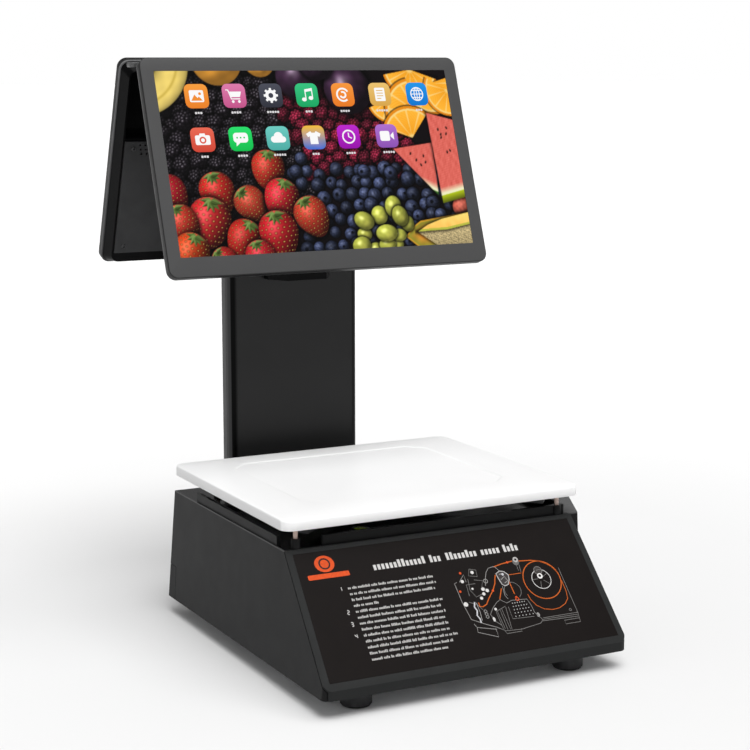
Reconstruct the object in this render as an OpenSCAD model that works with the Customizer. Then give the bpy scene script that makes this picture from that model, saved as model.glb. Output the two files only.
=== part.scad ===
// Label printing scale: a drafted base with a lift-off pan, a thin column behind it with two
// tilting displays, and a label printer in a drawer on the right-hand side.
// Millimetres. Shapes are drawn from the front edge of the base (Y = 0) and its centre line
// (X = 0), and from_front() moves them so that the origin is the middle of the whole object's
// footprint.

/* [Base] */
// Half width of the base at its deck
deck_half_w = 159.6; // [150:0.1:164]
// Half width of the base at its lower edge
foot_half_w = 165.8; // [164:0.1:170]
// Height of the deck above the table
deck_z = 136.3; // [130:0.1:140]
// Height of the base's lower edge above the table
skirt_z = 18.8; // [16:0.1:20]
// Height of the top of the front lip
lip_z = 28.1; // [26:0.1:34]
// Distance from the lip back to the top of the sloping front
slope_y = 96.3; // [90:0.1:100]
// Depth of the base at its deck
rear_top_y = 377.6; // [370:0.1:380]
// Depth of the base at its lower edge
rear_bottom_y = 385.5; // [381:0.1:388]
// Wall thickness of the moulded covers
wall = 2.5; // [2:0.1:3]

/* [Pan] */
// Width of the weighing pan
pan_w = 329.6; // [320:0.1:335]
// Depth of the weighing pan
pan_d = 282.1; // [270:0.1:290]
// Front edge of the pan behind the lip
pan_front_y = 86.4; // [84:0.1:90]
// Height of the pan's weighing surface
pan_z = 167.8; // [165:0.1:172]
// Height of the pan's folded edge
pan_lip = 10.8; // [9:0.1:12]

/* [Displays] */
// Width of each display
display_w = 373.5; // [360:0.5:376]
// Height of each display along its glass
display_h = 235; // [225:0.5:238]
// Lean of each glass from upright, in degrees
display_tilt = 19.8; // [18:0.1:22]
// Height of the top edge of the glasses
head_z = 593.6; // [585:0.1:600]
// Front glass's top edge behind the lip
glass_top_y = 389.1; // [387:0.1:392]
// Middle of the column head behind the lip
head_y = 420.4; // [419:0.1:422]

/* [Column] */
// Half width of the column
column_half_w = 78.7; // [74:0.1:82]
// Front face of the column behind the lip
column_front_y = 412.6; // [411:0.1:414]
// Rear face of the column behind the lip
column_rear_y = 435.3; // [434:0.1:440]
// Height of the top of the column covers
column_top_z = 536; // [520:1:538]

/* [Printer] */
// Outer face of the printer drawer from the centre line
drawer_face_x = 200; // [198:0.5:204]
// Diameter of a full label roll
roll_d = 100; // [60:1:100]
// Width of the labels' backing paper
label_w = 60; // [40:1:60]
// Diameter of the rubber platen
platen_d = 16; // [14:0.1:16]

/* [Hidden] */
$fn = 64;
base_h = deck_z - skirt_z;
slope_h = deck_z - lip_z;
slope_angle = atan2(slope_h, slope_y);
fascia_t = 3;
flange_t = 1.2;
fascia_gap = 1.1;
fascia_mid_half_w = 159.7;
front_corner_r = 9;
seam = 0.3;
rib_h = 9.5;
rib_t = 4;
rib_inset = 1.5;
rib_half_w = 118;
side_rib_y = [118, 318];
front_rib_y = 100.8;
front_rib_end_x = 154;
rear_rib_y = 366;
label_low_half_w = 157.6;
label_top_half_w = 153;
label_from = 7.8;
label_to = 140;
label_gap = 0.2;
skirt_y = 367.6;
skirt_top_z = 54.5;
skirt_gap = 0.6;
// Longer than the object in any direction, for cuts that must pass right through
clear = 500;
rear_lean = (rear_bottom_y - rear_top_y) / base_h;
glass_bottom_y = glass_top_y - display_h * sin(display_tilt);
whole_depth = 2 * head_y - glass_bottom_y;
mid_x = (drawer_face_x - display_w / 2) / 2;
mid_y = whole_depth / 2;

// Printer's bulge: where it leaves the base's side, its shoulder and its rear corner
bulge_root_x = 158;
bulge_front_y = 98.4;
bulge_shoulder_x = 169.5;
bulge_rear_x = 190;
bulge_rear_y = 264;
bulge_face_y = [161, 252];
bulge_foot_spread = 6;

// Weighing works
pan_mid_y = pan_front_y + pan_d / 2;
spider_z = 148;
spider_t = 4;
pad_x = 130;
pad_y = 108;
stop_places = [[-146, -125.7], [146, -125.7], [-120, 125.7], [120, 125.7]];
stop_boss_r = 4.5;
stop_gap = 2;
pan_sheet = 3;
stop_pin_r = 2.2;
level_h = 7.5;
pad_r = 5;
pad_flange_r = 9;
pad_flange_h = 7;
cell_z = 98;
cell_h = 22;
cell_half_w = 15;
cell_half_len = 70;
cell_bore_r = 8.5;
cell_bore_y = 16;
post_half_w = 20;
post_y = [44, 68];
arm_w = 22;
recess_y = 237;
recess_half_w = 115;
recess_half_d = 99;
recess_cut = 18;
recess_depth = 1;

// Feet
foot_r = 15.1;
foot_x = 117.1;
foot_front_y = 33.1;
foot_rear_y = 345;
stud_r = 4;
stud_len = 16;
nut_r = 7.5;
nut_h = 5;
plate_z = 19.5;
plate_t = 2;
plate_top = plate_z + plate_t;
plate_half_w = 161.5;
plate_y = [5, 364];

// Printer drawer: shafts run along Y, and these are their places in X and Z
tray_z = 24.6;
tray_t = 2.4;
drawer_y0 = 163;
drawer_y1 = 249.5;
drawer_top_z = 131;
drawer_front_t = 4;
inner_end_x = 28;
web_y0 = 168;
web_y1 = web_y0 + label_w;
outlet_z = [93, 99.5];
grip_z = [34, 50];
latch_at = [198, 66];
latch_r = 7;
mech_y = 238;
mech_t = 3;
gear_y0 = mech_y + mech_t + 1;
gear_w = 6;
roll_at = [80, 78];
rewind_at = [160, 47.5];
platen_at = [182, 92];
head_at = [150, 116];
lever_at = [168, 124];
web_bar_at = [140, 101];
tooth = 1;
platen_teeth = 24;
idler_teeth = 20;
pinion_teeth = 12;
idler_angle = 210;
idler_at = platen_at + tooth * (platen_teeth + idler_teeth) / 2 * [cos(idler_angle), sin(idler_angle)];
pinion_at = idler_at - [tooth * (idler_teeth + pinion_teeth) / 2, 0];
shaft_r = 3;
motor_shaft_r = 2.5;
motor_half_w = 14;
motor_flange_r = 10.8;
roll_spindle_r = 8;
core_r = 20;
spool_r = 9;
spool_flange_r = 18.5;
bearing_y0 = 163.4;
run_fit = 0.05;
front_gap = 0.6;

// Display stack, measured back from the glass
glass_t = 1.8;
frame_back = 9.8;
shell_back = 24;
cover_back = 26;
glass_margin_top = 14.8;
active_w = 344.2;
active_h = 199;
pocket_bottom = 83;
hinge_z = 570;
hinge_r = 5;
knuckle_r = 10;
arm_t = 8;
front_arm_x = 45.5;
rear_arm_x = 56;
screen_rim = 3;
pocket_half_w = 178;
hatch_half_w = 178;
hatch_z = [-217, -86];
vent_pitch = 9;
speaker_x = 161;
speaker_pitch = [6, 5];

// Column
column_foot_z = 24;
column_wall = 2.2;
column_corner_r = 10;
split_y = 423.2;
frame_half_w = 40;
frame_wall = 3;
frame_y = [417, 431];
frame_gap_half_w = 36;
tie_z = [58, 99.5];
camera_y = 395;
camera_z = 354;
camera_h = 18;
camera_half_w = 37.5;

// Rear connections
inlet_x = -120;
inlet_y = 379.6;
inlet_half_w = 17;
inlet_z = [66, 126];
blade_x = [-7, 0, 7];
rocker_at = [inlet_y - 5, 113];
socket_window = [95.7, 144.3];
opening_gap = 0.3;

// Shared shapes

module from_front() { translate([-mid_x, -mid_y, 0]) children(); }

module box(low, high) { translate(low) cube(high - low); }

// A box given by its half width about X = 0 and its limits in Y and Z
module centred_box(half_w, y0, y1, z0, z1) { box([-half_w, y0, z0], [half_w, y1, z1]); }

module rounded_rect(w, d, r) {
    square([w - 2 * r, d], center = true);
    square([w, d - 2 * r], center = true);
    for (x = [-1, 1], y = [-1, 1]) translate([x * (w / 2 - r), y * (d / 2 - r)]) circle(r);
}

module cut_corner_rect(half_w, half_d, cut) {
    polygon([for (s = [[-1, -1], [1, -1], [1, 1], [-1, 1]], first = [true, false])
        let (along = first == (s[0] * s[1] > 0))
            [s[0] * (half_w - (along ? 0 : cut)), s[1] * (half_d - (along ? cut : 0))]]);
}

// A side view given as [Y, Z] points, made half_w thick to each side of X = 0
module side_profile(half_w, points) {
    translate([-half_w, 0, 0]) rotate([90, 0, 90]) linear_extrude(2 * half_w) polygon(points);
}

// The drafted front view of the base, inset by an amount
module drafted_sides(inset) {
    low = foot_half_w + (foot_half_w - deck_half_w) - inset;
    translate([0, clear, 0]) rotate([90, 0, 0]) linear_extrude(2 * clear)
        polygon([[-low, skirt_z - base_h], [low, skirt_z - base_h],
            [deck_half_w - inset, deck_z], [-deck_half_w + inset, deck_z]]);
}

function rear_y(z) = rear_bottom_y - (z - skirt_z) * rear_lean;

// Along Y, from y0 to y1, at a place given as [X, Z]
module rod(at, r, y0, y1) {
    translate([at[0], y1, at[1]]) rotate([90, 0, 0]) cylinder(h = y1 - y0, r = r);
}

module along_y(y0, y1) { translate([0, y1, 0]) rotate([90, 0, 0]) linear_extrude(y1 - y0) children(); }

// Along X, from x0 to x1, at a place given as [Y, Z]
module bar(at, r, x0, x1) {
    translate([x0, at[0], at[1]]) rotate([0, 90, 0]) cylinder(h = x1 - x0, r = r);
}

// The printer's bulge in plan, from the base's side out to the drawer's face
function bulge_plan(inset, spread) = [[bulge_root_x, bulge_front_y + inset],
    [bulge_shoulder_x - inset * 0.6 + spread, bulge_front_y + inset],
    [drawer_face_x - inset, bulge_face_y[0] + inset * 0.25],
    [drawer_face_x - inset, bulge_face_y[1] - inset * 0.5],
    [bulge_rear_x - inset * 0.5, bulge_rear_y - inset], [bulge_root_x, bulge_rear_y - inset]];

// A gear's outline: each tooth is a blunt wedge with a little backlash
tooth_shape = [[-0.27, -1.1], [-0.13, 0.8], [0.13, 0.8], [0.27, -1.1]];
function gear_points(teeth, phase) = [for (i = [0 : teeth - 1]) for (p = tooth_shape)
    (tooth * teeth / 2 + tooth * p[1])
    * [cos(phase + (i + p[0]) * 360 / teeth), sin(phase + (i + p[0]) * 360 / teeth)]];

module spur_gear(at, teeth, phase, bore_r) {
    difference() {
        along_y(gear_y0, gear_y0 + gear_w) translate(at) polygon(gear_points(teeth, phase));
        if (bore_r > 0) rod(at, bore_r, gear_y0 - 1, gear_y0 + gear_w + 1);
    }
}

// The gears are in mesh at rest: a tooth of one faces a gap of the next
platen_phase = idler_angle;
idler_phase = idler_angle + 180 + 180 / idler_teeth;
idler_ahead = (180 - idler_phase) / (360 / idler_teeth);
idler_offset = (round(idler_ahead) - idler_ahead) * 360 / idler_teeth;
pinion_phase = -idler_offset * idler_teeth / pinion_teeth + 180 / pinion_teeth;

// Base

module base_plate() {
    color("dimgray") from_front() difference() {
        union() {
            centred_box(plate_half_w, plate_y[0], plate_y[1], plate_z, plate_top);
            // Weld nuts that the feet screw into
            for (x = [-foot_x, foot_x], y = [foot_front_y, foot_rear_y])
                translate([x, y, plate_top - 0.1]) cylinder(h = nut_h + 0.1, r = nut_r, $fn = 6);
        }
        for (x = [-foot_x, foot_x], y = [foot_front_y, foot_rear_y])
            translate([x, y, plate_z - 1]) cylinder(h = nut_h + 7, r = stud_r + run_fit);
    }
}

// The front outline at a depth behind the front face, as the lip's top and the slope's top
function lip_at(depth) = [depth, lip_z + depth * (tan(slope_angle) - 1 / cos(slope_angle))];
function slope_top_at(depth) = [slope_y + depth / sin(slope_angle), deck_z];

// The base in plan, its front corners rounded, inset by an amount
module rounded_plan(inset) {
    translate([0, 200, 0]) linear_extrude(200)
        rounded_rect(2 * (foot_half_w - inset), 400 - 2 * inset, front_corner_r - inset);
}

module base_outer() {
    front = flange_t + fascia_gap;
    intersection() {
        drafted_sides(0);
        rounded_plan(0);
        side_profile(clear, [[front, skirt_z], [rear_bottom_y, skirt_z], [rear_top_y, deck_z],
            slope_top_at(front), lip_at(front)]);
    }
}

module base_inner(inset) {
    intersection() {
        drafted_sides(inset);
        side_profile(clear, [[-20, 0], [rear_y(0) - inset, 0], [rear_y(deck_z) - inset, deck_z - inset],
            [-20, deck_z - inset]]);
    }
}

module printer_bulge() {
    hull() {
        translate([0, 0, deck_z - 0.1]) linear_extrude(0.1) polygon(bulge_plan(0, 0));
        translate([0, 0, skirt_z]) linear_extrude(0.1) polygon(bulge_plan(0, bulge_foot_spread));
    }
}

// Ribs that keep spills from running under the pan, and the bosses of the overload stops
module deck_ribs() {
    side_x = deck_half_w - rib_inset;
    for (x = [-side_x, side_x - rib_t])
        box([x, side_rib_y[0], deck_z - 1], [x + rib_t, side_rib_y[1], deck_z + rib_h]);
    box([-rib_half_w, front_rib_y, deck_z - 1], [front_rib_end_x, front_rib_y + rib_t, deck_z + rib_h]);
    box([-rib_half_w, rear_rib_y, deck_z - 1], [rib_half_w, rear_rib_y + rib_t, deck_z + rib_h]);
    for (p = stop_places)
        translate([p[0], pan_mid_y + p[1], deck_z - 1]) cylinder(h = rib_h + 1, r = stop_boss_r);
}

module base_housing() {
    color("#2e2f30") from_front() difference() {
        union() {
            base_outer();
            printer_bulge();
            deck_ribs();
        }
        intersection() {
            base_inner(wall);
            union() {
                rounded_plan(wall);
                centred_box(fascia_mid_half_w + seam, -20, 20, 0, deck_z);
            }
        }
        translate([0, 0, skirt_z + wall]) linear_extrude(base_h - 2 * wall)
            polygon(concat([[140, 100]], [for (i = [1 : 4]) bulge_plan(wall, 0)[i]],
                [[140, bulge_rear_y - wall]]));
        // Drawer opening
        box([190, drawer_y0 - 1, skirt_z + wall], [210, drawer_y1, drawer_top_z]);
        // Hole for the post that carries the pan support
        centred_box(26, 268, 300, deck_z - 10, deck_z + 10);
        // Column frame, mains inlet and data sockets
        centred_box(41, 360, 400, 57, 101);
        box([inlet_x - inlet_half_w - opening_gap, 360, inlet_z[0] - opening_gap],
            [inlet_x + inlet_half_w + opening_gap, 400, inlet_z[1] + opening_gap]);
        box([socket_window[0], 360, 69.7], [socket_window[1], 400, 96.3]);
        // Corner that the skirt fills
        centred_box(200, skirt_y - skirt_gap, 400, 0, skirt_top_z + skirt_gap);
    }
}

// A sheet that follows the front face: as deep as depth, from x = -half_w to half_w
module front_sheet(depth, half_w) {
    side_profile(half_w, [[0, skirt_z], [0, lip_z], [slope_y, deck_z], slope_top_at(depth),
        lip_at(depth), [depth, skirt_z]]);
}

// A thin flange covers the housing's front edges, and a thicker middle lies between its walls
module front_fascia() {
    color("#38393a") from_front() difference() {
        intersection() {
            union() {
                intersection() {
                    drafted_sides(0.2);
                    front_sheet(flange_t, clear);
                }
                intersection() {
                    drafted_sides(wall + seam);
                    front_sheet(fascia_t, clear);
                    centred_box(fascia_mid_half_w, -1, clear, 0, deck_z - wall - seam);
                }
            }
            rounded_plan(0);
        }
        label_plate(label_gap, 5);
    }
}

// X across, Y up the slope from the lip, Z out of the sloping face
module on_slope() { translate([0, 0, lip_z]) rotate([slope_angle, 0, 0]) children(); }

// The label's outline, grown by margin, as a plate that starts half a millimetre under the slope
module label_plate(margin, thick) {
    low = label_low_half_w + margin;
    top = label_top_half_w + margin;
    on_slope() translate([0, 0, -0.5]) linear_extrude(thick)
        polygon([[-low, label_from - margin], [low, label_from - margin],
            [top, label_to + margin], [-top, label_to + margin]]);
}

module instruction_label() { color("#261f1f") from_front() label_plate(0, 0.6); }

module rear_skirt() {
    color("#2e2f30") from_front() difference() {
        intersection() {
            drafted_sides(0);
            side_profile(clear, [[skirt_y, skirt_z], [rear_bottom_y, skirt_z],
                [rear_y(skirt_top_z), skirt_top_z], [skirt_y, skirt_top_z]]);
        }
        base_inner(wall);
        for (x = [-40, 40]) translate([x, 370, 36]) rotate([-90, 0, 0]) cylinder(h = 30, r = 1.7);
    }
}

module load_cell() {
    color("silver") from_front() difference() {
        centred_box(cell_half_w, pan_mid_y - cell_half_len, pan_mid_y + cell_half_len,
            cell_z, cell_z + cell_h);
        // The two joined bores that make the thin flexing sections
        for (y = [-cell_bore_y, cell_bore_y])
            bar([pan_mid_y + y, cell_z + cell_h / 2], cell_bore_r, -20, 20);
        centred_box(20, pan_mid_y - cell_bore_y, pan_mid_y + cell_bore_y, cell_z + 8, cell_z + 14);
    }
}

module load_cell_mounts() {
    color("gray") from_front() {
        centred_box(post_half_w, pan_mid_y - 68, pan_mid_y - 34, plate_top, cell_z);
        centred_box(post_half_w, pan_mid_y + post_y[0], pan_mid_y + post_y[1],
            cell_z + cell_h, spider_z);
    }
}

module pan_support() {
    arm = 2 * sqrt(pad_x * pad_x + pad_y * pad_y) + arm_w;
    color("#3a3c3e") from_front() translate([0, pan_mid_y, spider_z]) {
        for (s = [-1, 1]) rotate(s * atan2(pad_y, pad_x))
            translate([-arm / 2, -arm_w / 2, 0]) cube([arm, arm_w, spider_t]);
        translate([-45, -40, 0]) cube([90, 115, spider_t]);
    }
}

module support_pads() {
    pad_z = spider_z + spider_t;
    stem_z = pad_z + pad_flange_h - 0.1;
    color("#1c1c1c") from_front()
        for (x = [-pad_x, pad_x], y = [-pad_y, pad_y]) translate([x, pan_mid_y + y, 0]) {
            translate([0, 0, pad_z]) cylinder(h = pad_flange_h, r = pad_flange_r);
            translate([0, 0, stem_z]) cylinder(h = pan_z - pan_sheet - stem_z, r = pad_r);
        }
}

module overload_stops() {
    color("#c9a79b") from_front()
        for (p = stop_places)
            translate([p[0], pan_mid_y + p[1], deck_z + rib_h])
                cylinder(h = pan_z - pan_sheet - stop_gap - deck_z - rib_h, r = stop_pin_r);
}

module bubble_level() {
    color("#b9c62e") from_front() translate([-69.5, 117, deck_z]) {
        cylinder(h = level_h - 2, r = 11);
        translate([0, 0, level_h - 2.1]) cylinder(h = 2.1, r = 9);
    }
}

module main_board() {
    color("darkgreen") from_front() {
        box([-150, 118, 29], [-32, 212, 30.6]);
        for (p = [[-146, 122], [-40, 122], [-146, 204], [-40, 204]])
            translate([p[0], p[1], plate_top]) cylinder(h = 29 - plate_top, r = 3);
        box([-110, 140, 30.6], [-80, 170, 34]);
        box([-66, 130, 30.6], [-46, 160, 36]);
        box([-140, 180, 30.6], [-60, 190, 39]);
    }
}

module power_supply() {
    color("lightgray") from_front() box([-150, 236, plate_top], [-72, 330, 58]);
}

module inlet_blades() {
    for (x = blade_x) box([inlet_x + x - 1, 361, 82], [inlet_x + x + 1, 373, 86]);
}

// The inlet and the switch body above it share one moulding
module power_inlet() {
    color("#161616") from_front() difference() {
        union() {
            box([inlet_x - inlet_half_w, 352, inlet_z[0]], [inlet_x + inlet_half_w, inlet_y, inlet_z[1]]);
            inlet_blades();
        }
        difference() {
            box([inlet_x - 12.3, 363, 75.5], [inlet_x + 12.3, 390, 92.5]);
            inlet_blades();
        }
        box([inlet_x - 7.1, inlet_y - 10, 101.6], [inlet_x + 7.1, 390, 124.4]);
        bar(rocker_at, 1.5 + run_fit, inlet_x - 10, inlet_x + 10);
    }
}

module power_rocker() {
    color("#a3261e") from_front() translate([inlet_x, rocker_at[0], rocker_at[1]]) {
        rotate([-8, 0, 0]) translate([-6.6, 0, 0]) rotate([90, 0, 90]) linear_extrude(13.2)
            polygon([[5, 0], [3.6, 10], [-2, 9], [-3, 0], [-2, -9], [3.6, -10]]);
        translate([-9.5, 0, 0]) rotate([0, 90, 0]) cylinder(h = 19, r = 1.5);
    }
}

module socket(x0, x1, z0, z1) {
    difference() {
        box([x0 - 1.5, 364, z0 - 1.5], [x1 + 1.5, 379.4, z1 + 1.5]);
        box([x0, 368, z0], [x1, 390, z1]);
    }
}

module io_sockets() {
    color("silver") from_front() {
        socket(98, 110, 76, 88);
        socket(114.5, 127.5, 72.5, 78);
        socket(114.5, 127.5, 85, 90.5);
        socket(132, 141.5, 77, 87);
    }
}

module base_screws() {
    color("#8d8f92") from_front()
        for (x = [-150, 150], y = [60, 200, 350]) translate([x, y, plate_z - 1.4]) {
            difference() {
                cylinder(h = 1.4, r = 3);
                translate([0, 0, -1]) cylinder(h = 1.8, r = 1.5, $fn = 6);
            }
        }
}

module levelling_foot(x, y) {
    color("#141414") from_front() translate([x, y, 0]) {
        translate([0, 0, 2]) cylinder(h = plate_z - 1 - 2, r = foot_r);
        cylinder(h = 2.5, r1 = foot_r - 1.6, r2 = foot_r);
        translate([0, 0, plate_z - 2]) cylinder(h = stud_len, r = stud_r);
    }
}

module foot_front_left() { levelling_foot(-foot_x, foot_front_y); }
module foot_front_right() { levelling_foot(foot_x, foot_front_y); }
module foot_rear_left() { levelling_foot(-foot_x, foot_rear_y); }
module foot_rear_right() { levelling_foot(foot_x, foot_rear_y); }

// The fixed members of the two telescopic slides
module drawer_rails() {
    color("silver") from_front()
        for (y = [166, 231]) box([inner_end_x + 2, y, plate_top], [194, y + 3, tray_z - 0.4]);
}

// Column

module column_frame() {
    color("#55585a") from_front() difference() {
        union() {
            centred_box(50, 316, 362, plate_top, plate_top + 4);
            for (x = [-frame_half_w, frame_half_w - frame_wall])
                translate([x, 0, 0]) rotate([90, 0, 90]) linear_extrude(frame_wall)
                    polygon([[320, 25], [358, 25], [364, 60], [frame_y[1], 60],
                        [frame_y[1], 98], [330, 98]]);
            centred_box(frame_half_w, 330, frame_y[1], 98 - frame_wall, 98);
            difference() {
                centred_box(frame_half_w, frame_y[0], frame_y[1], 60, column_top_z - 6);
                centred_box(frame_half_w - frame_wall, frame_y[0] - 1, frame_y[1] - frame_wall,
                    50, column_top_z);
            }
            // Two cheeks that hold the hinge shaft
            for (x = [-33, 27]) translate([x, 0, 0]) {
                bar([head_y, hinge_z], 9, 0, 6);
                box([0, 417.5, 480], [6, frame_y[1], hinge_z]);
                box([0, 413.8, hinge_z], [6, 427, 583]);
            }
        }
        bar([head_y, hinge_z], hinge_r, -50, 50);
    }
}

module pedestal_cover() {
    low = column_foot_z;
    high = 118;
    back = column_front_y - seam;
    color("#242526") from_front() difference() {
        side_profile(70, [[rear_y(low) + seam, low], [back, low], [back, high], [rear_y(high) + seam, high]]);
        centred_box(70 - wall, 360, 430, low + wall, high - wall);
    }
}

module column_slab(y0, y1, rounded_front) {
    r = column_corner_r;
    translate([0, 0, column_foot_z]) linear_extrude(column_top_z - column_foot_z) {
        if (rounded_front) {
            translate([-column_half_w + r, y0]) square([2 * column_half_w - 2 * r, y1 - y0]);
            translate([-column_half_w, y0 + r]) square([2 * column_half_w, y1 - y0 - r]);
            for (x = [-1, 1]) intersection() {
                translate([x * (column_half_w - r), y0 + r]) circle(r);
                translate([-100, y0]) square([200, y1 - y0]);
            }
        } else {
            translate([-column_half_w, y0]) square([2 * column_half_w, y1 - y0]);
        }
    }
}

module column_front_cover() {
    t = column_wall;
    color("#161616") from_front() difference() {
        column_slab(column_front_y, split_y, true);
        centred_box(column_half_w - t, column_front_y + 8, 450, 26, column_top_z - t);
        centred_box(column_half_w - 8, column_front_y + t, 450, 26, column_top_z - t);
        centred_box(frame_gap_half_w, 416, 450, 300, column_top_z + 1);
        centred_box(41.5, column_front_y - 1, 450, tie_z[0], tie_z[1]);
    }
}

module column_rear_shell() {
    t = column_wall;
    color("#3c3c3c") from_front() difference() {
        column_slab(split_y + seam, column_rear_y, false);
        centred_box(column_half_w - t, 400, column_rear_y - t, 26, column_top_z - t);
        centred_box(frame_gap_half_w, 400, 432, 300, column_top_z + 1);
    }
}

module camera_housing() {
    color("#1d1d1e") from_front() difference() {
        translate([0, 0, camera_z]) linear_extrude(camera_h)
            polygon([[-camera_half_w, column_front_y - seam], [camera_half_w, column_front_y - seam],
                [camera_half_w, 402], [23.5, 380], [-23.5, 380], [-camera_half_w, 402]]);
        translate([0, 0, camera_z + 2]) linear_extrude(camera_h - 4)
            polygon([[-35, 430], [35, 430], [35, 402.6], [22.2, 382.5], [-22.2, 382.5], [-35, 402.6]]);
        translate([0, camera_y, camera_z - 4]) cylinder(h = 10, r = 8.3);
    }
}

module camera_module() {
    color("#101214") from_front() {
        translate([0, camera_y, camera_z + 0.6]) cylinder(h = 8.5, r = 8);
        centred_box(18, 386, 407, camera_z + 9, camera_z + 11);
    }
}

module hinge_shaft() {
    color("silver") from_front() bar([head_y, hinge_z], hinge_r, -64, 64);
}

module spine_cover() {
    color("#5c5d5e") from_front() translate([0, head_y, 583]) linear_extrude(5.4)
        rounded_rect(2 * 186.5, 15.2, 5);
}

// Weighing pan

module pan_blank(inset, z0, z1, r) {
    translate([0, pan_mid_y, z0]) linear_extrude(z1 - z0)
        rounded_rect(pan_w - 2 * inset, pan_d - 2 * inset, r);
}

module weighing_pan() {
    color("white") from_front() {
        difference() {
            pan_blank(0, pan_z - pan_lip, pan_z, 12);
            pan_blank(pan_sheet, pan_z - pan_lip - 1, pan_z - pan_sheet, 9);
            // Shallow recess with cut corners
            translate([0, recess_y, pan_z - recess_depth]) linear_extrude(5)
                cut_corner_rect(recess_half_w, recess_half_d, recess_cut);
        }
        for (x = [-pad_x, pad_x], y = [-pad_y, pad_y])
            translate([x, pan_mid_y + y, pan_z - pan_sheet - 5]) difference() {
                cylinder(h = 5.1, r = 9);
                translate([0, 0, -1]) cylinder(h = 6, r = pad_r + 0.4);
            }
    }
}

// Displays. X across, Z up the glass from its top edge, Y back from the glass

module front_head() { translate([0, glass_top_y, head_z]) rotate([-display_tilt, 0, 0]) children(); }

module rear_head() { translate([0, 2 * head_y, 0]) rotate([0, 0, 180]) front_head() children(); }

// A rounded panel whose top edge is inset from the display's own, from depth y0 to y1
module panel(inset, y0, y1, r) {
    translate([0, y1, -display_h / 2]) rotate([90, 0, 0]) linear_extrude(y1 - y0)
        rounded_rect(display_w - 2 * inset, display_h - 2 * inset, r);
}

module display_glass() { color("#0c0d0f") panel(0, 0, glass_t, 10); }

module display_frame() {
    color("#474849") difference() {
        panel(0, glass_t, frame_back, 10);
        panel(5, glass_t - 1, frame_back + 1, 6);
    }
}

module display_lcd() {
    color("#1f2a33")
        translate([-active_w / 2 - screen_rim, glass_t, -glass_margin_top - active_h - screen_rim])
            cube([active_w + 2 * screen_rim, 6.6, active_h + 2 * screen_rim]);
}

module display_shell_blank(inset) {
    hull() {
        panel(1.5 + inset, frame_back, frame_back + 0.1, 9);
        panel(6.5 + inset, shell_back - 0.1 - inset, shell_back - inset, 9);
    }
}

module display_back_shell() {
    color("#262627") difference() {
        display_shell_blank(0);
        intersection() {
            display_shell_blank(wall);
            translate([-200, frame_back - 1, -display_h])
                cube([400, 40, display_h - pocket_bottom - wall]);
        }
        // Upper pocket for the hinge arms
        translate([-pocket_half_w, frame_back + wall, -pocket_bottom])
            cube([2 * pocket_half_w, 30, pocket_bottom - 9]);
        // Opening under the service cover
        translate([-hatch_half_w - 0.5, shell_back - 4, hatch_z[0] - 0.5])
            cube([2 * hatch_half_w + 1, 10, hatch_z[1] - hatch_z[0] + 0.7]);
        // Cooling slots along the lower edge
        for (x = [-1, 1], i = [0 : 7]) translate([x * (60 + i * vent_pitch) - 2.5, 12.8, -display_h])
            cube([5, 2.4, 12]);
    }
}

module display_service_cover() {
    color("#323334") difference() {
        translate([-hatch_half_w, shell_back - 3.5, hatch_z[0]])
            cube([2 * hatch_half_w, cover_back - shell_back + 3.5, hatch_z[1] - hatch_z[0]]);
        // Speaker holes near both ends
        for (s = [-1, 1], row = [0 : 2], i = [0 : 4])
            translate([s * (speaker_x - i * speaker_pitch[0] - row * 1.2), shell_back - 5,
                hatch_z[1] - 4 - row * speaker_pitch[1]])
                    rotate([-90, 0, 0]) cylinder(h = 9, r = 1.1);
    }
}

// A pair of steel arms from the shell's pocket up to the shared shaft
module display_hinge_arms(x_mid) {
    drop = (glass_top_y - head_y) * -sin(display_tilt) - (head_z - hinge_z) * cos(display_tilt);
    depth = (head_y - glass_top_y) * cos(display_tilt) + (head_z - hinge_z) * sin(display_tilt);
    floor_y = frame_back + wall;
    color("#7a7d80") for (x = [-x_mid, x_mid]) difference() {
        union() {
            translate([x - arm_t / 2, 0, 0]) rotate([90, 0, 90]) linear_extrude(arm_t)
                polygon([[floor_y, -76], [floor_y + 3, -76], [depth + 4, drop - 8.5],
                    [depth - 9, drop + 3], [floor_y, -30]]);
            translate([x - 9, floor_y, -76]) cube([18, 2.5, 46]);
            bar([depth, drop], knuckle_r, x - arm_t / 2, x + arm_t / 2);
        }
        bar([depth, drop], hinge_r + run_fit, x - 5, x + 5);
    }
}

module front_glass() { from_front() front_head() display_glass(); }
module front_frame() { from_front() front_head() display_frame(); }
module front_lcd() { from_front() front_head() display_lcd(); }
module front_back_shell() { from_front() front_head() display_back_shell(); }
module front_service_cover() { from_front() front_head() display_service_cover(); }
module front_hinge_arms() { from_front() front_head() display_hinge_arms(front_arm_x); }
module rear_glass() { from_front() rear_head() display_glass(); }
module rear_frame() { from_front() rear_head() display_frame(); }
module rear_lcd() { from_front() rear_head() display_lcd(); }
module rear_back_shell() { from_front() rear_head() display_back_shell(); }
module rear_service_cover() { from_front() rear_head() display_service_cover(); }
module rear_hinge_arms() { from_front() rear_head() display_hinge_arms(rear_arm_x); }

module computer_board() {
    color("darkgreen") from_front() front_head() {
        translate([-70, 10.4, -205]) cube([140, 1.6, 100]);
        translate([-30, 12, -180]) cube([50, 5, 50]);
        translate([-66, 12, -140]) cube([24, 4, 24]);
    }
}

// Printer drawer

// The middle members of the telescopic slides, which travel half as far as the drawer
module rail_sliders() {
    color("silver") from_front()
        for (y = [169.4, 227.6]) box([inner_end_x + 2, y, plate_top + 0.2], [190, y + 3, tray_z - 0.3]);
}

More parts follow.
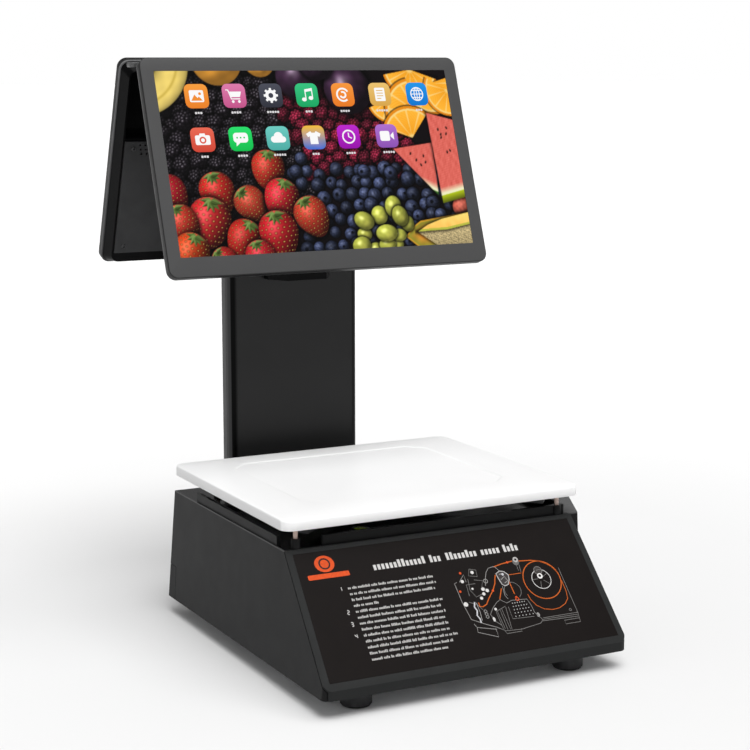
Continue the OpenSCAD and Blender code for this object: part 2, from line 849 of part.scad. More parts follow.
module drawer_front() {
    color("#2e2f30") from_front() difference() {
        box([drawer_face_x - drawer_front_t, drawer_y0 - 1 + front_gap, skirt_z + wall + front_gap],
            [drawer_face_x, drawer_y1 - front_gap, drawer_top_z - front_gap]);
        box([180, web_y0 - 2, outlet_z[0]], [210, web_y1 + 2, outlet_z[1]]);
        box([180, web_y0 + 8, grip_z[0]], [210, web_y1 - 8, grip_z[1]]);
        bar(latch_at, latch_r + run_fit, 180, 210);
    }
}

module mechanism_plate() {
    color("#b4b8bb") from_front() difference() {
        union() {
            box([inner_end_x, drawer_y0, tray_z], [drawer_face_x - drawer_front_t, 248, tray_z + tray_t]);
            box([inner_end_x, mech_y, tray_z], [192, mech_y + mech_t, drawer_top_z - 2]);
            rod(platen_at, 7, mech_y - 4, mech_y + 1);
            rod(lever_at, 5, mech_y - 4, mech_y + 1);
        }
        rod(platen_at, shaft_r + run_fit, 230, 245);
        rod(lever_at, shaft_r + run_fit, 230, 245);
        rod(pinion_at, motor_flange_r + 0.2, 230, 245);
    }
}

module guide_rods() {
    color("silver") from_front() {
        rod(roll_at, roll_spindle_r, 165, mech_y);
        rod(roll_at, 11, bearing_y0, 165.1);
        rod(rewind_at, shaft_r, 164, mech_y);
        rod(head_at, shaft_r, web_y0, mech_y);
        rod(web_bar_at, 4, web_y0 - 0.5, mech_y);
        rod(idler_at, shaft_r, mech_y + mech_t, gear_y0 + gear_w);
    }
}

module stepper_motor() {
    color("#26282b") from_front() difference() {
        union() {
            box([pinion_at[0] - motor_half_w, 207, pinion_at[1] - motor_half_w],
                [pinion_at[0] + motor_half_w, mech_y, pinion_at[1] + motor_half_w]);
            rod(pinion_at, motor_flange_r, mech_y - 1, mech_y + 2.4);
        }
        rod(pinion_at, motor_shaft_r + run_fit, 226, 245);
    }
}

module motor_pinion() {
    color("#c8a24a") from_front() {
        spur_gear(pinion_at, pinion_teeth, pinion_phase, 0);
        rod(pinion_at, motor_shaft_r, 227, gear_y0 + 1);
    }
}

module idler_gear() {
    color("#e8e4d8") from_front() spur_gear(idler_at, idler_teeth, idler_phase, shaft_r + run_fit);
}

module platen_shaft() {
    color("silver") from_front() {
        rod(platen_at, shaft_r, 165, gear_y0 + gear_w);
        spur_gear(platen_at, platen_teeth, platen_phase, 0);
    }
}

module platen_roller() {
    color("#1a1a1a") from_front() difference() {
        rod(platen_at, platen_d / 2, web_y0, web_y1 + 4);
        rod(platen_at, shaft_r, web_y0 - 1, web_y1 + 5);
    }
}

module peel_bar() {
    color("silver") from_front() along_y(web_y0 - 2, mech_y)
        polygon([[190.6, 90], [194.8, 90], [194.8, 92.4], [191.8, 98.6], [190.6, 98.6]]);
}

module roll_hub() {
    color("#303236") from_front() difference() {
        union() {
            rod(roll_at, core_r - 0.2, web_y0 - 2, 232);
            rod(roll_at, 32, 230, 233);
        }
        rod(roll_at, roll_spindle_r + run_fit, 160, 240);
    }
}

module label_roll() {
    color("#f2efe6") from_front() difference() {
        rod(roll_at, roll_d / 2, web_y0, web_y1);
        rod(roll_at, core_r, web_y0 - 1, web_y1 + 1);
    }
}

module rewind_spool() {
    color("#3b3e42") from_front() difference() {
        union() {
            rod(rewind_at, spool_r, web_y0 - 2, 232);
            rod(rewind_at, spool_flange_r, web_y0 - 2, web_y0);
            rod(rewind_at, spool_flange_r, web_y1, web_y1 + 2);
        }
        rod(rewind_at, shaft_r + run_fit, 160, 240);
    }
}

module printhead() {
    color("#8f9396") from_front() difference() {
        union() {
            along_y(web_y0 - 1, web_y1 + 1)
                polygon([[150, 111], [150, 119], [192, 109], [192, 104], [176, 104], [160, 111]]);
            box([176, web_y0, 100.4], [190, web_y1, 104.2]);
            rod(head_at, 5.4, web_y0 + 2, web_y1 - 2);
        }
        rod(head_at, shaft_r + run_fit, 160, 240);
    }
}

module release_lever() {
    grip_end = lever_at + [-40, -8];
    color("#d06a1e") from_front() {
        rod(lever_at, shaft_r, bearing_y0, mech_y + mech_t);
        // Cam lobe over the print head
        hull() {
            rod(lever_at, 2.4, 180, 216);
            rod(lever_at - [0, 6.2], 2.2, 180, 216);
        }
        hull() {
            rod(lever_at, 5, bearing_y0, bearing_y0 + 3.5);
            rod(grip_end, 4, bearing_y0, bearing_y0 + 3.5);
        }
    }
}

module drawer_latch() {
    color("#d06a1e") from_front() {
        bar(latch_at, latch_r, drawer_face_x - 6, drawer_face_x - 0.4);
        bar(latch_at, latch_r + 2, drawer_face_x - 6.1, drawer_face_x - drawer_front_t - 0.05);
    }
}

base_plate();
base_housing();
front_fascia();
instruction_label();
rear_skirt();
load_cell();
load_cell_mounts();
pan_support();
support_pads();
overload_stops();
bubble_level();
main_board();
power_supply();
power_inlet();
io_sockets();
base_screws();
drawer_rails();
column_frame();
pedestal_cover();
column_rear_shell();
column_front_cover();
camera_housing();
camera_module();
hinge_shaft();
spine_cover();
weighing_pan();
front_glass();
front_lcd();
front_frame();
front_back_shell();
front_service_cover();
front_hinge_arms();
computer_board();
rear_glass();
rear_lcd();
rear_frame();
rear_back_shell();
rear_service_cover();
rear_hinge_arms();
rail_sliders();
drawer_front();
mechanism_plate();
guide_rods();
stepper_motor();
peel_bar();
roll_hub();
label_roll();
rewind_spool();
platen_shaft();
platen_roller();
idler_gear();
motor_pinion();
printhead();
release_lever();
drawer_latch();
foot_front_left();
foot_front_right();
foot_rear_left();
foot_rear_right();
power_rocker();
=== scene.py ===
"""The looks of a label printing scale: a counter scale with a printer drawer and two back-to-back screens.

Lengths are millimetres on the scale's own axes: X from its centre line, Y from its front lip, Z from the
table. place() turns them into the frame's metres.
"""
import math
import random

import bpy
import numpy as np
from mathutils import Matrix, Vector


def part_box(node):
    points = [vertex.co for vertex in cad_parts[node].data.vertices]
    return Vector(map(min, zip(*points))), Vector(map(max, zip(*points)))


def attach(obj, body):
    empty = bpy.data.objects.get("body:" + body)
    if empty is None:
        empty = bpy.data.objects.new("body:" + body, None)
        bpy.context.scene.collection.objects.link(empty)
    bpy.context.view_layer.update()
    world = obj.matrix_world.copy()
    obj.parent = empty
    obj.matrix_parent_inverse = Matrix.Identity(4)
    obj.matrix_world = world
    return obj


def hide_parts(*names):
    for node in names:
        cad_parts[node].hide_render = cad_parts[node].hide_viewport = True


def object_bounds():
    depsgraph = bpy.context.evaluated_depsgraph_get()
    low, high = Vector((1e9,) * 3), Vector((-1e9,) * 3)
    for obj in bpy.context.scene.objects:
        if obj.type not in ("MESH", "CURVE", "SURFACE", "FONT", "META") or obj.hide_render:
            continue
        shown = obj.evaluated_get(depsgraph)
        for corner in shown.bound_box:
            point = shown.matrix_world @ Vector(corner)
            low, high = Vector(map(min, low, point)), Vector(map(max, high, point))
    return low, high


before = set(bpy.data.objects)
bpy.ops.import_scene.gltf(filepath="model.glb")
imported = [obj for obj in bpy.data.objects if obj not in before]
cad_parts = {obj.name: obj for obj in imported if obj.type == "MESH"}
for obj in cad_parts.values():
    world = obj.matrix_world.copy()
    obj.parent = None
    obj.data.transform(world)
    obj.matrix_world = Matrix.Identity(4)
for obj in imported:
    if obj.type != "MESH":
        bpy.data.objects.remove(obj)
cad_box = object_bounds()

MM = 0.001
# The displays: lean, top edge, middle of the column head, picture size, picture's place and outer size
TILT = math.radians(19.8)
HEAD_TOP_Y = 389.1
HEAD_TOP_Z = 593.6
HEAD_MID_Y = 420.4
SCREEN_W = 344.2
SCREEN_H = 199.0
SCREEN_TOP = 14.8
DISPLAY_W = 373.5
DISPLAY_H = 235.0
DISPLAY_CORNER = 10
PICTURE_BACK = 0.6
COVER_BACK = 26
# The column's faces, the deck, the label's foot and the drawer's roll and spool
COLUMN_HALF_W = 78.7
COLUMN_FRONT_Y = 412.6
COLUMN_BACK_Y = 435.3
DECK_HALF_W = 159.6
DECK_Z = 136.3
LIP_Z = 28.1
DECK_FRONT_Y = 96.3
ROLL_X, ROLL_Z = 80, 78
SPOOL_X, SPOOL_Z = 160, 47.5
PICK = random.Random(11)
PAN_LOW, PAN_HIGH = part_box("weighing_pan")
CENTRE_X = (PAN_LOW.x + PAN_HIGH.x) / 2
LIP_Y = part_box("front_fascia")[0].y


def place(x, y, z):
    """A point on the scale's own axes, as a point of the frame."""
    return Vector((CENTRE_X + x * MM, LIP_Y + y * MM, z * MM))


def polar(radius, degrees):
    """A point at a distance and an angle from the origin."""
    return radius * math.cos(math.radians(degrees)), radius * math.sin(math.radians(degrees))


# ---------------------------------------------------------------- materials

class Shader:
    """A Principled material whose node tree is built by short calls."""

    def __init__(self, name, colour, rough, **sockets):
        self.material = bpy.data.materials.new(name)
        self.material.use_nodes = True
        self.tree = self.material.node_tree
        self.surface = self.tree.nodes["Principled BSDF"]
        self.colour = (*colour, 1.0)
        self.surface.inputs["Base Color"].default_value = self.colour
        self.surface.inputs["Roughness"].default_value = rough
        for socket, value in sockets.items():
            self.surface.inputs[socket.replace("_", " ")].default_value = value
        self.where = self.node("ShaderNodeTexCoord").outputs["Object"]

    def node(self, kind, settings=None, **inputs):
        made = self.tree.nodes.new(kind)
        for key, value in (settings or {}).items():
            setattr(made, key, value)
        for key, value in inputs.items():
            self.feed(made.inputs[key.replace("_", " ")], value)
        return made

    def feed(self, socket, value):
        if isinstance(value, bpy.types.NodeSocket):
            self.tree.links.new(value, socket)
        else:
            socket.default_value = value

    def noise(self, scale, detail=2.0, stretch=None, distortion=0.0):
        where = self.where
        if stretch:
            where = self.node("ShaderNodeMapping", Vector=where, Scale=stretch).outputs["Vector"]
        return self.node("ShaderNodeTexNoise", Vector=where, Scale=scale, Detail=detail,
                         Distortion=distortion).outputs["Fac"]

    def cells(self, scale, feature="F1"):
        return self.node("ShaderNodeTexVoronoi", {"feature": feature}, Vector=self.where,
                         Scale=scale).outputs["Distance"]

    def remap(self, value, low, high, start=0.0, end=1.0):
        """value's range low..high, stretched to start..end."""
        return self.node("ShaderNodeMapRange", Value=value, From_Min=low, From_Max=high, To_Min=start,
                         To_Max=end).outputs["Result"]

    def math(self, operation, a, b=0.0):
        made = self.node("ShaderNodeMath", {"operation": operation})
        self.feed(made.inputs[0], a)
        self.feed(made.inputs[1], b)
        return made.outputs[0]

    def vector(self, operation, a, b=(0, 0, 0)):
        made = self.node("ShaderNodeVectorMath", {"operation": operation})
        self.feed(made.inputs[0], a)
        self.feed(made.inputs[1], b)
        return made.outputs["Value" if operation == "LENGTH" else "Vector"]

    def axes(self):
        """The point's own X, Y and Z in metres."""
        return self.node("ShaderNodeSeparateXYZ", Vector=self.where).outputs

    def facing(self):
        """The surface normal's X, Y and Z."""
        normal = self.node("ShaderNodeNewGeometry").outputs["Normal"]
        return self.node("ShaderNodeSeparateXYZ", Vector=normal).outputs

    def aside(self):
        """Metres to either side of the centre line."""
        return self.math("ABSOLUTE", self.math("SUBTRACT", self.axes()["X"], CENTRE_X))

    def mix(self, factor, a, b):
        made = self.node("ShaderNodeMix", {"data_type": "RGBA"})
        for index, value in ((0, factor), (6, a), (7, b)):
            self.feed(made.inputs[index], value)
        return made.outputs[2]

    def cloud(self, low, high, scale=14, detail=3):
        """The base colour, clouded between two strengths."""
        return self.mix(self.noise(scale, detail), shade(self.colour, low), shade(self.colour, high))

    def paint(self, colour):
        self.feed(self.surface.inputs["Base Color"], colour)

    def roughness(self, value):
        self.feed(self.surface.inputs["Roughness"], value)

    def handled(self, low, high, scale=26, detail=5, distortion=0.0):
        """Gloss made uneven by handling, between two roughnesses."""
        marks = self.noise(scale, detail, distortion=distortion)
        self.roughness(self.remap(marks, 0.3, 0.7, low, high))

    def bump(self, height, depth, strength=1.0):
        """Adds relief of the given depth in millimetres."""
        made = self.node("ShaderNodeBump", Height=height, Strength=strength, Distance=depth * MM)
        self.feed(self.surface.inputs["Normal"], made.outputs["Normal"])


def shade(colour, factor):
    """A colour made lighter or darker."""
    return (*(min(1.0, c * factor) for c in colour[:3]), 1.0)


def add_wear(s, colour, amount, lift=2.2):
    """Convex edges polished lighter, as hands and cloths leave them."""
    edge = s.node("ShaderNodeNewGeometry").outputs["Pointiness"]
    patchy = s.remap(s.noise(60, 3), 0.35, 0.7)
    worn = s.math("MULTIPLY", s.remap(edge, 0.51, 0.60, 0.0, amount), patchy)
    return s.mix(worn, colour, shade(s.colour, lift))


def plastic(name, colour, rough, grain=0.03, tint=0.10, wear=0.35, smudge=0.06, **sockets):
    """Moulded plastic: soft unevenness of colour, handling marks in the gloss, a fine eroded grain."""
    s = Shader(name, colour, rough, **sockets)
    flecks = s.remap(s.noise(700, 1), 0.62, 0.75, 0.0, 0.25)
    cloud = s.mix(flecks, s.cloud(1 - tint, 1 + tint), shade(colour, 1 + 4 * tint))
    s.paint(add_wear(s, cloud, wear))
    s.handled(rough - smudge, rough + smudge, distortion=0.6)
    s.bump(s.noise(1 / (0.45 * MM)), grain, 0.6)
    return s.material


def brushed_metal(name, colour, rough, stretch=(30, 900, 900)):
    """Sheet or bar metal with fine drawn lines and faint stains."""
    s = Shader(name, colour, rough, Metallic=1.0)
    lines = s.noise(1.0, 3, stretch)
    stain = s.noise(22, 4)
    base = s.mix(lines, shade(colour, 0.92), shade(colour, 1.08))
    s.paint(s.mix(s.remap(stain, 0.5, 0.75, 0.0, 0.35), base, shade(colour, 0.72)))
    s.roughness(s.remap(stain, 0.3, 0.7, rough - 0.06, rough + 0.1))
    s.bump(lines, 0.02, 0.5)
    return s.material


def cast_metal(name, colour, rough, pit=0.08, grain_size=1.2, metallic=1.0):
    """Cast, plated or powder-coated metal with an orange-peel skin."""
    s = Shader(name, colour, rough, Metallic=metallic)
    cloud = s.noise(18, 4)
    base = s.mix(cloud, shade(colour, 0.86), shade(colour, 1.12))
    s.paint(add_wear(s, base, 0.5, 1.6))
    s.roughness(s.remap(cloud, 0.3, 0.7, rough - 0.07, rough + 0.09))
    s.bump(s.noise(1 / (grain_size * MM)), pit, 0.5)
    return s.material


def rubber(name, colour):
    """Dull rubber, greyed by dust in its pores."""
    s = Shader(name, colour, 0.75)
    dust = s.remap(s.noise(90, 6), 0.45, 0.75, 0.0, 0.5)
    s.paint(s.mix(dust, shade(colour, 0.9), shade(colour, 3.2)))
    s.handled(0.62, 0.85, 40, 3)
    s.bump(s.noise(1500), 0.05, 0.7)
    return s.material


def housing():
    """Satin sides, a painted highlight along the deck's outer rounded edge, and a polished deck between the
    ribs.
    """
    s = Shader("housing_black", (0.0082, 0.0083, 0.0085), 0.45, Specular_IOR_Level=0.10)
    height = s.axes()["Z"]
    # rim: a painted highlight, the deck's outer rounded edge made paler on both sides
    rim = s.math("MULTIPLY", s.remap(s.aside(), (DECK_HALF_W - 1.5) * MM, (DECK_HALF_W - 1) * MM),
                 s.remap(height, (DECK_Z - 1.4) * MM, (DECK_Z - 1.0) * MM))
    deck = s.math("MULTIPLY", s.remap(s.facing()["Z"], 0.90, 0.97),
                  s.remap(height, (DECK_Z - 1.2) * MM, (DECK_Z - 0.4) * MM))
    satin = add_wear(s, s.cloud(0.95, 1.06), 0.25)
    s.paint(s.mix(rim, s.mix(deck, satin, (0.006, 0.006, 0.007, 1)), (0.075, 0.075, 0.076, 1)))
    marks = s.noise(30, 5, distortion=0.8)
    rough = s.node("ShaderNodeMix", {"data_type": "FLOAT"})
    for index, value in ((0, deck), (2, s.remap(marks, 0.3, 0.7, 0.43, 0.47)),
                         (3, s.remap(marks, 0.35, 0.8, 0.10, 0.2))):
        s.feed(rough.inputs[index], value)
    s.roughness(rough.outputs[0])
    s.bump(s.math("MULTIPLY", s.noise(2200), s.math("SUBTRACT", 1.0, deck)), 0.03, 0.6)
    return s.material


def column_cover():
    """A smooth moulding: flanks painted paler as painted light, rounded corners painted near black as a painted
    dark reflection, and a black camera shelf.
    """
    s = Shader("column_cover", (0.0175, 0.0175, 0.0178), 0.34, Specular_IOR_Level=0.2)
    off = s.aside()
    front = place(0, COLUMN_FRONT_Y, 0).y
    shelf = s.remap(s.axes()["Y"], front - 1.0 * MM, front - 0.5 * MM, 1.0, 0.0)
    # side: the flanks painted paler, painted light; corner: the rounded corners painted near black, a painted
    # dark reflection
    side = s.remap(off, (COLUMN_HALF_W - 2.8) * MM, (COLUMN_HALF_W - 2.2) * MM)
    corner = s.remap(off, (COLUMN_HALF_W - 9.2) * MM, (COLUMN_HALF_W - 6.2) * MM)
    face = s.mix(corner, s.cloud(0.95, 1.06), (0.0010, 0.0010, 0.0011, 1))
    s.paint(s.mix(shelf, s.mix(side, face, (0.034, 0.034, 0.035, 1)), (0.0030, 0.0030, 0.0032, 1)))
    black = s.math("MAXIMUM", shelf, s.math("SUBTRACT", corner, side))
    s.feed(s.surface.inputs["Specular IOR Level"], s.remap(black, 0.0, 1.0, 0.2, 0.06))
    s.handled(0.31, 0.37)
    s.bump(s.noise(2400), 0.01, 0.6)
    return s.material


def display_axes(s):
    """Metres up from a display's top edge and back from its glass, the same for both displays."""
    middle = place(0, HEAD_MID_Y, 0).y
    top = place(0, HEAD_TOP_Y, HEAD_TOP_Z)
    y = s.math("SUBTRACT", middle - top.y, s.math("ABSOLUTE", s.math("SUBTRACT", s.axes()["Y"], middle)))
    z = s.math("SUBTRACT", s.axes()["Z"], top.z)
    up = s.math("ADD", s.math("MULTIPLY", y, math.sin(TILT)), s.math("MULTIPLY", z, math.cos(TILT)))
    back = s.math("SUBTRACT", s.math("MULTIPLY", y, math.cos(TILT)), s.math("MULTIPLY", z, math.sin(TILT)))
    return up, back


def display_frame():
    """Painted metal round the displays: dark sides, a back edge painted pale as a painted highlight that grows
    paler towards the top as a painted reflection, and convex edges rubbed lighter.
    """
    s = Shader("frame_grey", (0.05, 0.05, 0.051), 0.34, Specular_IOR_Level=0.12)
    _, back = display_axes(s)
    # high and rim: the back edge painted pale, a painted highlight, and paler still towards the top, a painted
    # reflection
    high = s.remap(s.axes()["Z"], 400 * MM, 585 * MM)
    rim = s.mix(high, shade(s.colour, 1.2), shade(s.colour, 3.0))
    s.paint(add_wear(s, s.mix(s.remap(back, 7.2 * MM, 8.6 * MM), s.cloud(0.14, 0.19), rim), 0.3))
    s.handled(0.30, 0.40)
    s.bump(s.noise(2200), 0.02, 0.6)
    return s.material


def cover_glass():
    """Grey printed glass with painted shade on its rounded edge."""
    s = Shader("screen_glass", (0.0665, 0.0665, 0.0672), 0.34, Specular_IOR_Level=0.2)
    up, _ = display_axes(s)
    along = s.math("ABSOLUTE", s.math("ADD", up, DISPLAY_H / 2 * MM))
    corner = DISPLAY_CORNER * MM
    squares = []
    for off, size in ((s.aside(), DISPLAY_W), (along, DISPLAY_H)):
        past = s.math("MAXIMUM", s.math("SUBTRACT", off, size / 2 * MM - corner), 0.0)
        squares.append(s.math("MULTIPLY", past, past))
    out = s.math("SQRT", s.math("ADD", *squares))
    # edge: painted shade, the outer rounded edge of the glass made dark
    edge = s.remap(out, corner - 1.3 * MM, corner - 0.3 * MM)
    s.paint(s.mix(edge, s.cloud(0.985, 1.015), shade(s.colour, 0.15)))
    s.handled(0.31, 0.37)
    return s.material


def pan_enamel():
    """White enamel, with painted shade greying the folded sides."""
    s = Shader("pan_white", (0.93, 0.93, 0.93), 0.34, Specular_IOR_Level=0.35)
    half = (PAN_HIGH.x - PAN_LOW.x) / 2
    # side: painted shade, the folded sides greyed to 0.79 of the top's colour
    side = s.remap(s.aside(), half - 1.0 * MM, half - 0.2 * MM)
    s.paint(s.mix(side, s.cloud(0.992, 1.008), shade(s.colour, 0.79)))
    s.handled(0.32, 0.36, distortion=0.6)
    s.bump(s.noise(1500), 0.003, 0.5)
    return s.material


def circuit_board():
    """Green solder mask over copper tracks."""
    s = Shader("circuit_board", (0.012, 0.11, 0.04), 0.3, Coat_Weight=0.4)
    tracks = s.remap(s.cells(160, "DISTANCE_TO_EDGE"), 0.02, 0.05)
    pads = s.remap(s.cells(330), 0.16, 0.2)
    base = s.mix(tracks, shade(s.colour, 1.8), s.colour)
    s.paint(s.mix(pads, (0.55, 0.5, 0.3, 1), base))
    s.bump(tracks, 0.04, 0.5)
    return s.material


def paper(name, colour, wound=False):
    """Thermal paper: faint fibres, and the wound layers seen as fine rings on a roll's ends."""
    s = Shader(name, colour, 0.6)
    fibre = s.noise(900, 4)
    base = s.mix(fibre, shade(colour, 0.93), shade(colour, 1.04))
    if wound:
        from_axis = s.vector("SUBTRACT", s.where, place(ROLL_X, 0, ROLL_Z))
        far = s.vector("LENGTH", s.vector("MULTIPLY", from_axis, (1, 0, 1)))
        layers = s.math("SINE", s.math("MULTIPLY", far, 2 * math.pi / (0.9 * MM)))
        thick = s.remap(s.math("SINE", s.math("MULTIPLY", far, 330.0)), -1, 1, 0.15, 0.8)
        end = s.remap(s.math("ABSOLUTE", s.facing()["Y"]), 0.8, 0.95)
        rings = s.math("MULTIPLY", s.remap(layers, -0.2, 0.9), s.math("MULTIPLY", thick, end))
        base = s.mix(rings, base, (0.52, 0.43, 0.30, 1))
    s.paint(base)
    s.bump(fibre, 0.02, 0.5)
    return s.material


def lens_glass():
    """A coated camera lens: nearly black, with a violet bloom."""
    s = Shader("lens_glass", (0.006, 0.005, 0.012), 0.05, Coat_Weight=1.0, Coat_Roughness=0.02)
    s.paint(s.mix(s.noise(180, 1), (0.004, 0.004, 0.008, 1), (0.03, 0.012, 0.06, 1)))
    return s.material


def lit_picture():
    """A backlit picture: its colours come from the mesh, under a faint gloss."""
    s = Shader("lit_screen", (0.002, 0.002, 0.002), 0.3, Specular_IOR_Level=0.06, Emission_Strength=1.0)
    ink = s.node("ShaderNodeAttribute", {"attribute_name": "ink"}).outputs["Color"]
    s.feed(s.surface.inputs["Emission Color"], ink)
    return s.material


def printed_ink():
    """Screen-printed ink, slightly uneven."""
    s = Shader("printed_ink", (0.5, 0.5, 0.5), 0.42, Specular_IOR_Level=0.1)
    ink = s.node("ShaderNodeAttribute", {"attribute_name": "ink"}).outputs["Color"]
    thin = s.remap(s.noise(500), 0.3, 0.8, 0.0, 0.25)
    s.paint(s.mix(thin, ink, (0.03, 0.025, 0.025, 1)))
    s.handled(0.36, 0.5, 300, 2)
    return s.material


# Each material by its slot's name, without the number that Blender adds to a name in use
MATERIALS = {made.name.split(".")[0]: made for made in (
    housing(),
    plastic("fascia_grey", (0.0185, 0.0192, 0.0192), 0.42, tint=0.05, wear=0.2, smudge=0.03,
            Specular_IOR_Level=0.08),
    plastic("label_film", (0.0060, 0.0042, 0.0038), 0.36, grain=0.01, wear=0.1, tint=0.04, smudge=0.03,
            Specular_IOR_Level=0.06),
    brushed_metal("steel", (0.56, 0.57, 0.58), 0.28),
    brushed_metal("aluminium", (0.72, 0.73, 0.74), 0.3),
    cast_metal("cast_aluminium", (0.55, 0.55, 0.56), 0.45),
    cast_metal("black_enamel", (0.02, 0.02, 0.021), 0.42, 0.05, 1.6, 0.0),
    rubber("rubber", (0.016, 0.016, 0.017)),
    plastic("stop_pin", (0.58, 0.42, 0.36), 0.4),
    plastic("level_vial", (0.42, 0.62, 0.03), 0.08, grain=0.0, Coat_Weight=1.0),
    circuit_board(),
    plastic("supply_case", (0.42, 0.42, 0.40), 0.5),
    plastic("socket_black", (0.012, 0.012, 0.012), 0.35),
    brushed_metal("socket_shell", (0.6, 0.6, 0.6), 0.25),
    plastic("column_shell", (0.050, 0.050, 0.051), 0.42, tint=0.03, smudge=0.02, Specular_IOR_Level=0.2),
    column_cover(),
    plastic("lens_black", (0.008, 0.008, 0.010), 0.12, grain=0.0),
    plastic("spine_grey", (0.075, 0.075, 0.076), 0.38),
    pan_enamel(),
    cover_glass(),
    plastic("lcd", (0.02, 0.02, 0.022), 0.3),
    display_frame(),
    plastic("shell_black", (0.0028, 0.0028, 0.003), 0.30, smudge=0.03, Specular_IOR_Level=0.05),
    plastic("cover_charcoal", (0.026, 0.026, 0.027), 0.42, grain=0.06, Specular_IOR_Level=0.25),
    brushed_metal("chassis", (0.52, 0.53, 0.54), 0.34, (900, 30, 900)),
    cast_metal("motor_black", (0.016, 0.016, 0.018), 0.38, 0.05, 1.0, 0.0),
    plastic("hub_black", (0.024, 0.026, 0.029), 0.4),
    paper("paper", (0.83, 0.81, 0.76), True),
    paper("backing_paper", (0.62, 0.53, 0.38)),
    lens_glass(),
    plastic("level_bubble", (0.72, 0.84, 0.28), 0.06, grain=0.0, Coat_Weight=1.0),
    plastic("gear_white", (0.72, 0.70, 0.62), 0.38, tint=0.04, wear=0.1),
    brushed_metal("brass", (0.70, 0.50, 0.20), 0.25),
    cast_metal("head_aluminium", (0.40, 0.41, 0.42), 0.4),
    plastic("lever_orange", (0.70, 0.17, 0.02), 0.38),
    plastic("rocker_red", (0.42, 0.02, 0.015), 0.25),
    lit_picture(),
    printed_ink(),
)}


# ---------------------------------------------------------------- mesh helpers

CORNERS = ((1, 1), (-1, 1), (-1, -1), (1, -1))


def add_piece(name, shape, slot, body, material=None, sharp=None, smooth=True, replaces=()):
    """A mesh piece from points in the frame's metres and faces, riding on a body.

    Its material is the slot's own unless another is named. Edges sharper than sharp degrees stay crisp.
    """
    points, faces = shape
    mesh = bpy.data.meshes.new(name)
    mesh.from_pydata([tuple(p) for p in points], [], faces)
    mesh.polygons.foreach_set("use_smooth", [smooth] * len(mesh.polygons))
    mesh.materials.append(MATERIALS[material or slot])
    mesh.validate()
    if sharp:
        mesh.set_sharp_from_angle(angle=math.radians(sharp))
    piece = bpy.data.objects.new(name, mesh)
    bpy.context.scene.collection.objects.link(piece)
    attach(piece, body)
    if replaces:
        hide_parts(*replaces)
    return piece


def lofted(rings, close_start=True, loop=False):
    """Points and faces of a skin over rings that all have the same number of points."""
    total, count = len(rings), len(rings[0])
    faces = []
    for a in range(total if loop else total - 1):
        b = (a + 1) % total
        for i in range(count):
            j = (i + 1) % count
            faces.append((a * count + i, a * count + j, b * count + j, b * count + i))
    if close_start and not loop:
        faces.append(tuple(reversed(range(count))))
    if not loop:
        faces.append(tuple(range((total - 1) * count, total * count)))
    return [p for ring in rings for p in ring], faces


def between(start, end, steps):
    """Points on a straight line, both ends among them."""
    return [(start[0] + (end[0] - start[0]) * k / steps, start[1] + (end[1] - start[1]) * k / steps)
            for k in range(steps + 1)]


def rounded_loop(width, height, radius, steps=8):
    """A rounded rectangle about the origin, with the same number of points whatever its size."""
    loop = []
    for corner, (sx, sy) in enumerate(CORNERS):
        for k in range(steps + 1):
            x, y = polar(radius, 90 * corner + 90 * k / steps)
            loop.append((sx * (width / 2 - radius) + x, sy * (height / 2 - radius) + y))
    return loop


def cut_loop(width, height, cut, steps=8):
    """A rectangle about the origin with its corners cut off, its points matching rounded_loop's."""
    loop = []
    for corner, (sx, sy) in enumerate(CORNERS):
        ends = [(sx * width / 2, sy * (height / 2 - cut)), (sx * (width / 2 - cut), sy * height / 2)]
        if corner % 2:
            ends.reverse()
        loop += between(*ends, steps)
    return loop


def ring_points(radius, count=32):
    """Points round the origin."""
    return [(radius * math.cos(2 * math.pi * i / count), radius * math.sin(2 * math.pi * i / count))
            for i in range(count)]


def arc(cx, cy, radius, start, end, steps):
    """Points along part of a circle, between two angles in degrees."""
    turns = (polar(radius, start + (end - start) * k / steps) for k in range(steps + 1))
    return [(cx + x, cy + y) for x, y in turns]


def joined(parts):
    """Several lists of points and faces as one."""
    points, faces = [], []
    for more, sides in parts:
        faces += [tuple(i + len(points) for i in side) for side in sides]
        points += more
    return points, faces


def turned(name, profile, at, axis, slot, material=None):
    """A lathe-turned piece: profile is (radius, height) in millimetres along an axis from a point."""
    turn = Vector((0, 0, 1)).rotation_difference(Vector(axis)).to_matrix()
    rings = [[place(*at) + turn @ Vector((x * MM, y * MM, h * MM)) for x, y in ring_points(max(r, 0.01))]
             for r, h in profile]
    add_piece(name, lofted(rings), slot, "base", material, sharp=35)


def tube(x, y, profile):
    """An upright ring as a closed skin: profile is (radius, height) going once round its section."""
    return lofted([[place(x + px, y + py, h) for px, py in ring_points(r)] for r, h in profile], loop=True)


def cuboid(low, high, edge=0.2):
    """A small block between two corners, the four edges along its depth cut off."""
    (x0, y0, z0), (x1, y1, z1) = low, high
    e = min(edge, (x1 - x0) / 3, (z1 - z0) / 3)
    section = ((x0 + e, z0), (x1 - e, z0), (x1, z0 + e), (x1, z1 - e), (x1 - e, z1), (x0 + e, z1),
               (x0, z1 - e), (x0, z0 + e))
    return lofted([[place(x, y, z) for x, z in section] for y in (y0, y1)])


def strip(path, thick, y0, y1):
    """A thin band along points in X and Z, between two values of Y."""
    rings = []
    for i, (x, z) in enumerate(path):
        before, after = path[max(0, i - 1)], path[min(len(path) - 1, i + 1)]
        dx, dz = after[0] - before[0], after[1] - before[1]
        length = math.hypot(dx, dz)
        top = (x - dz / length * thick, z + dx / length * thick)
        rings.append([place(x, y0, z), place(x, y1, z), place(top[0], y1, top[1]), place(top[0], y0, top[1])])
    return lofted(rings)


# ---------------------------------------------------------------- the displays' own axes

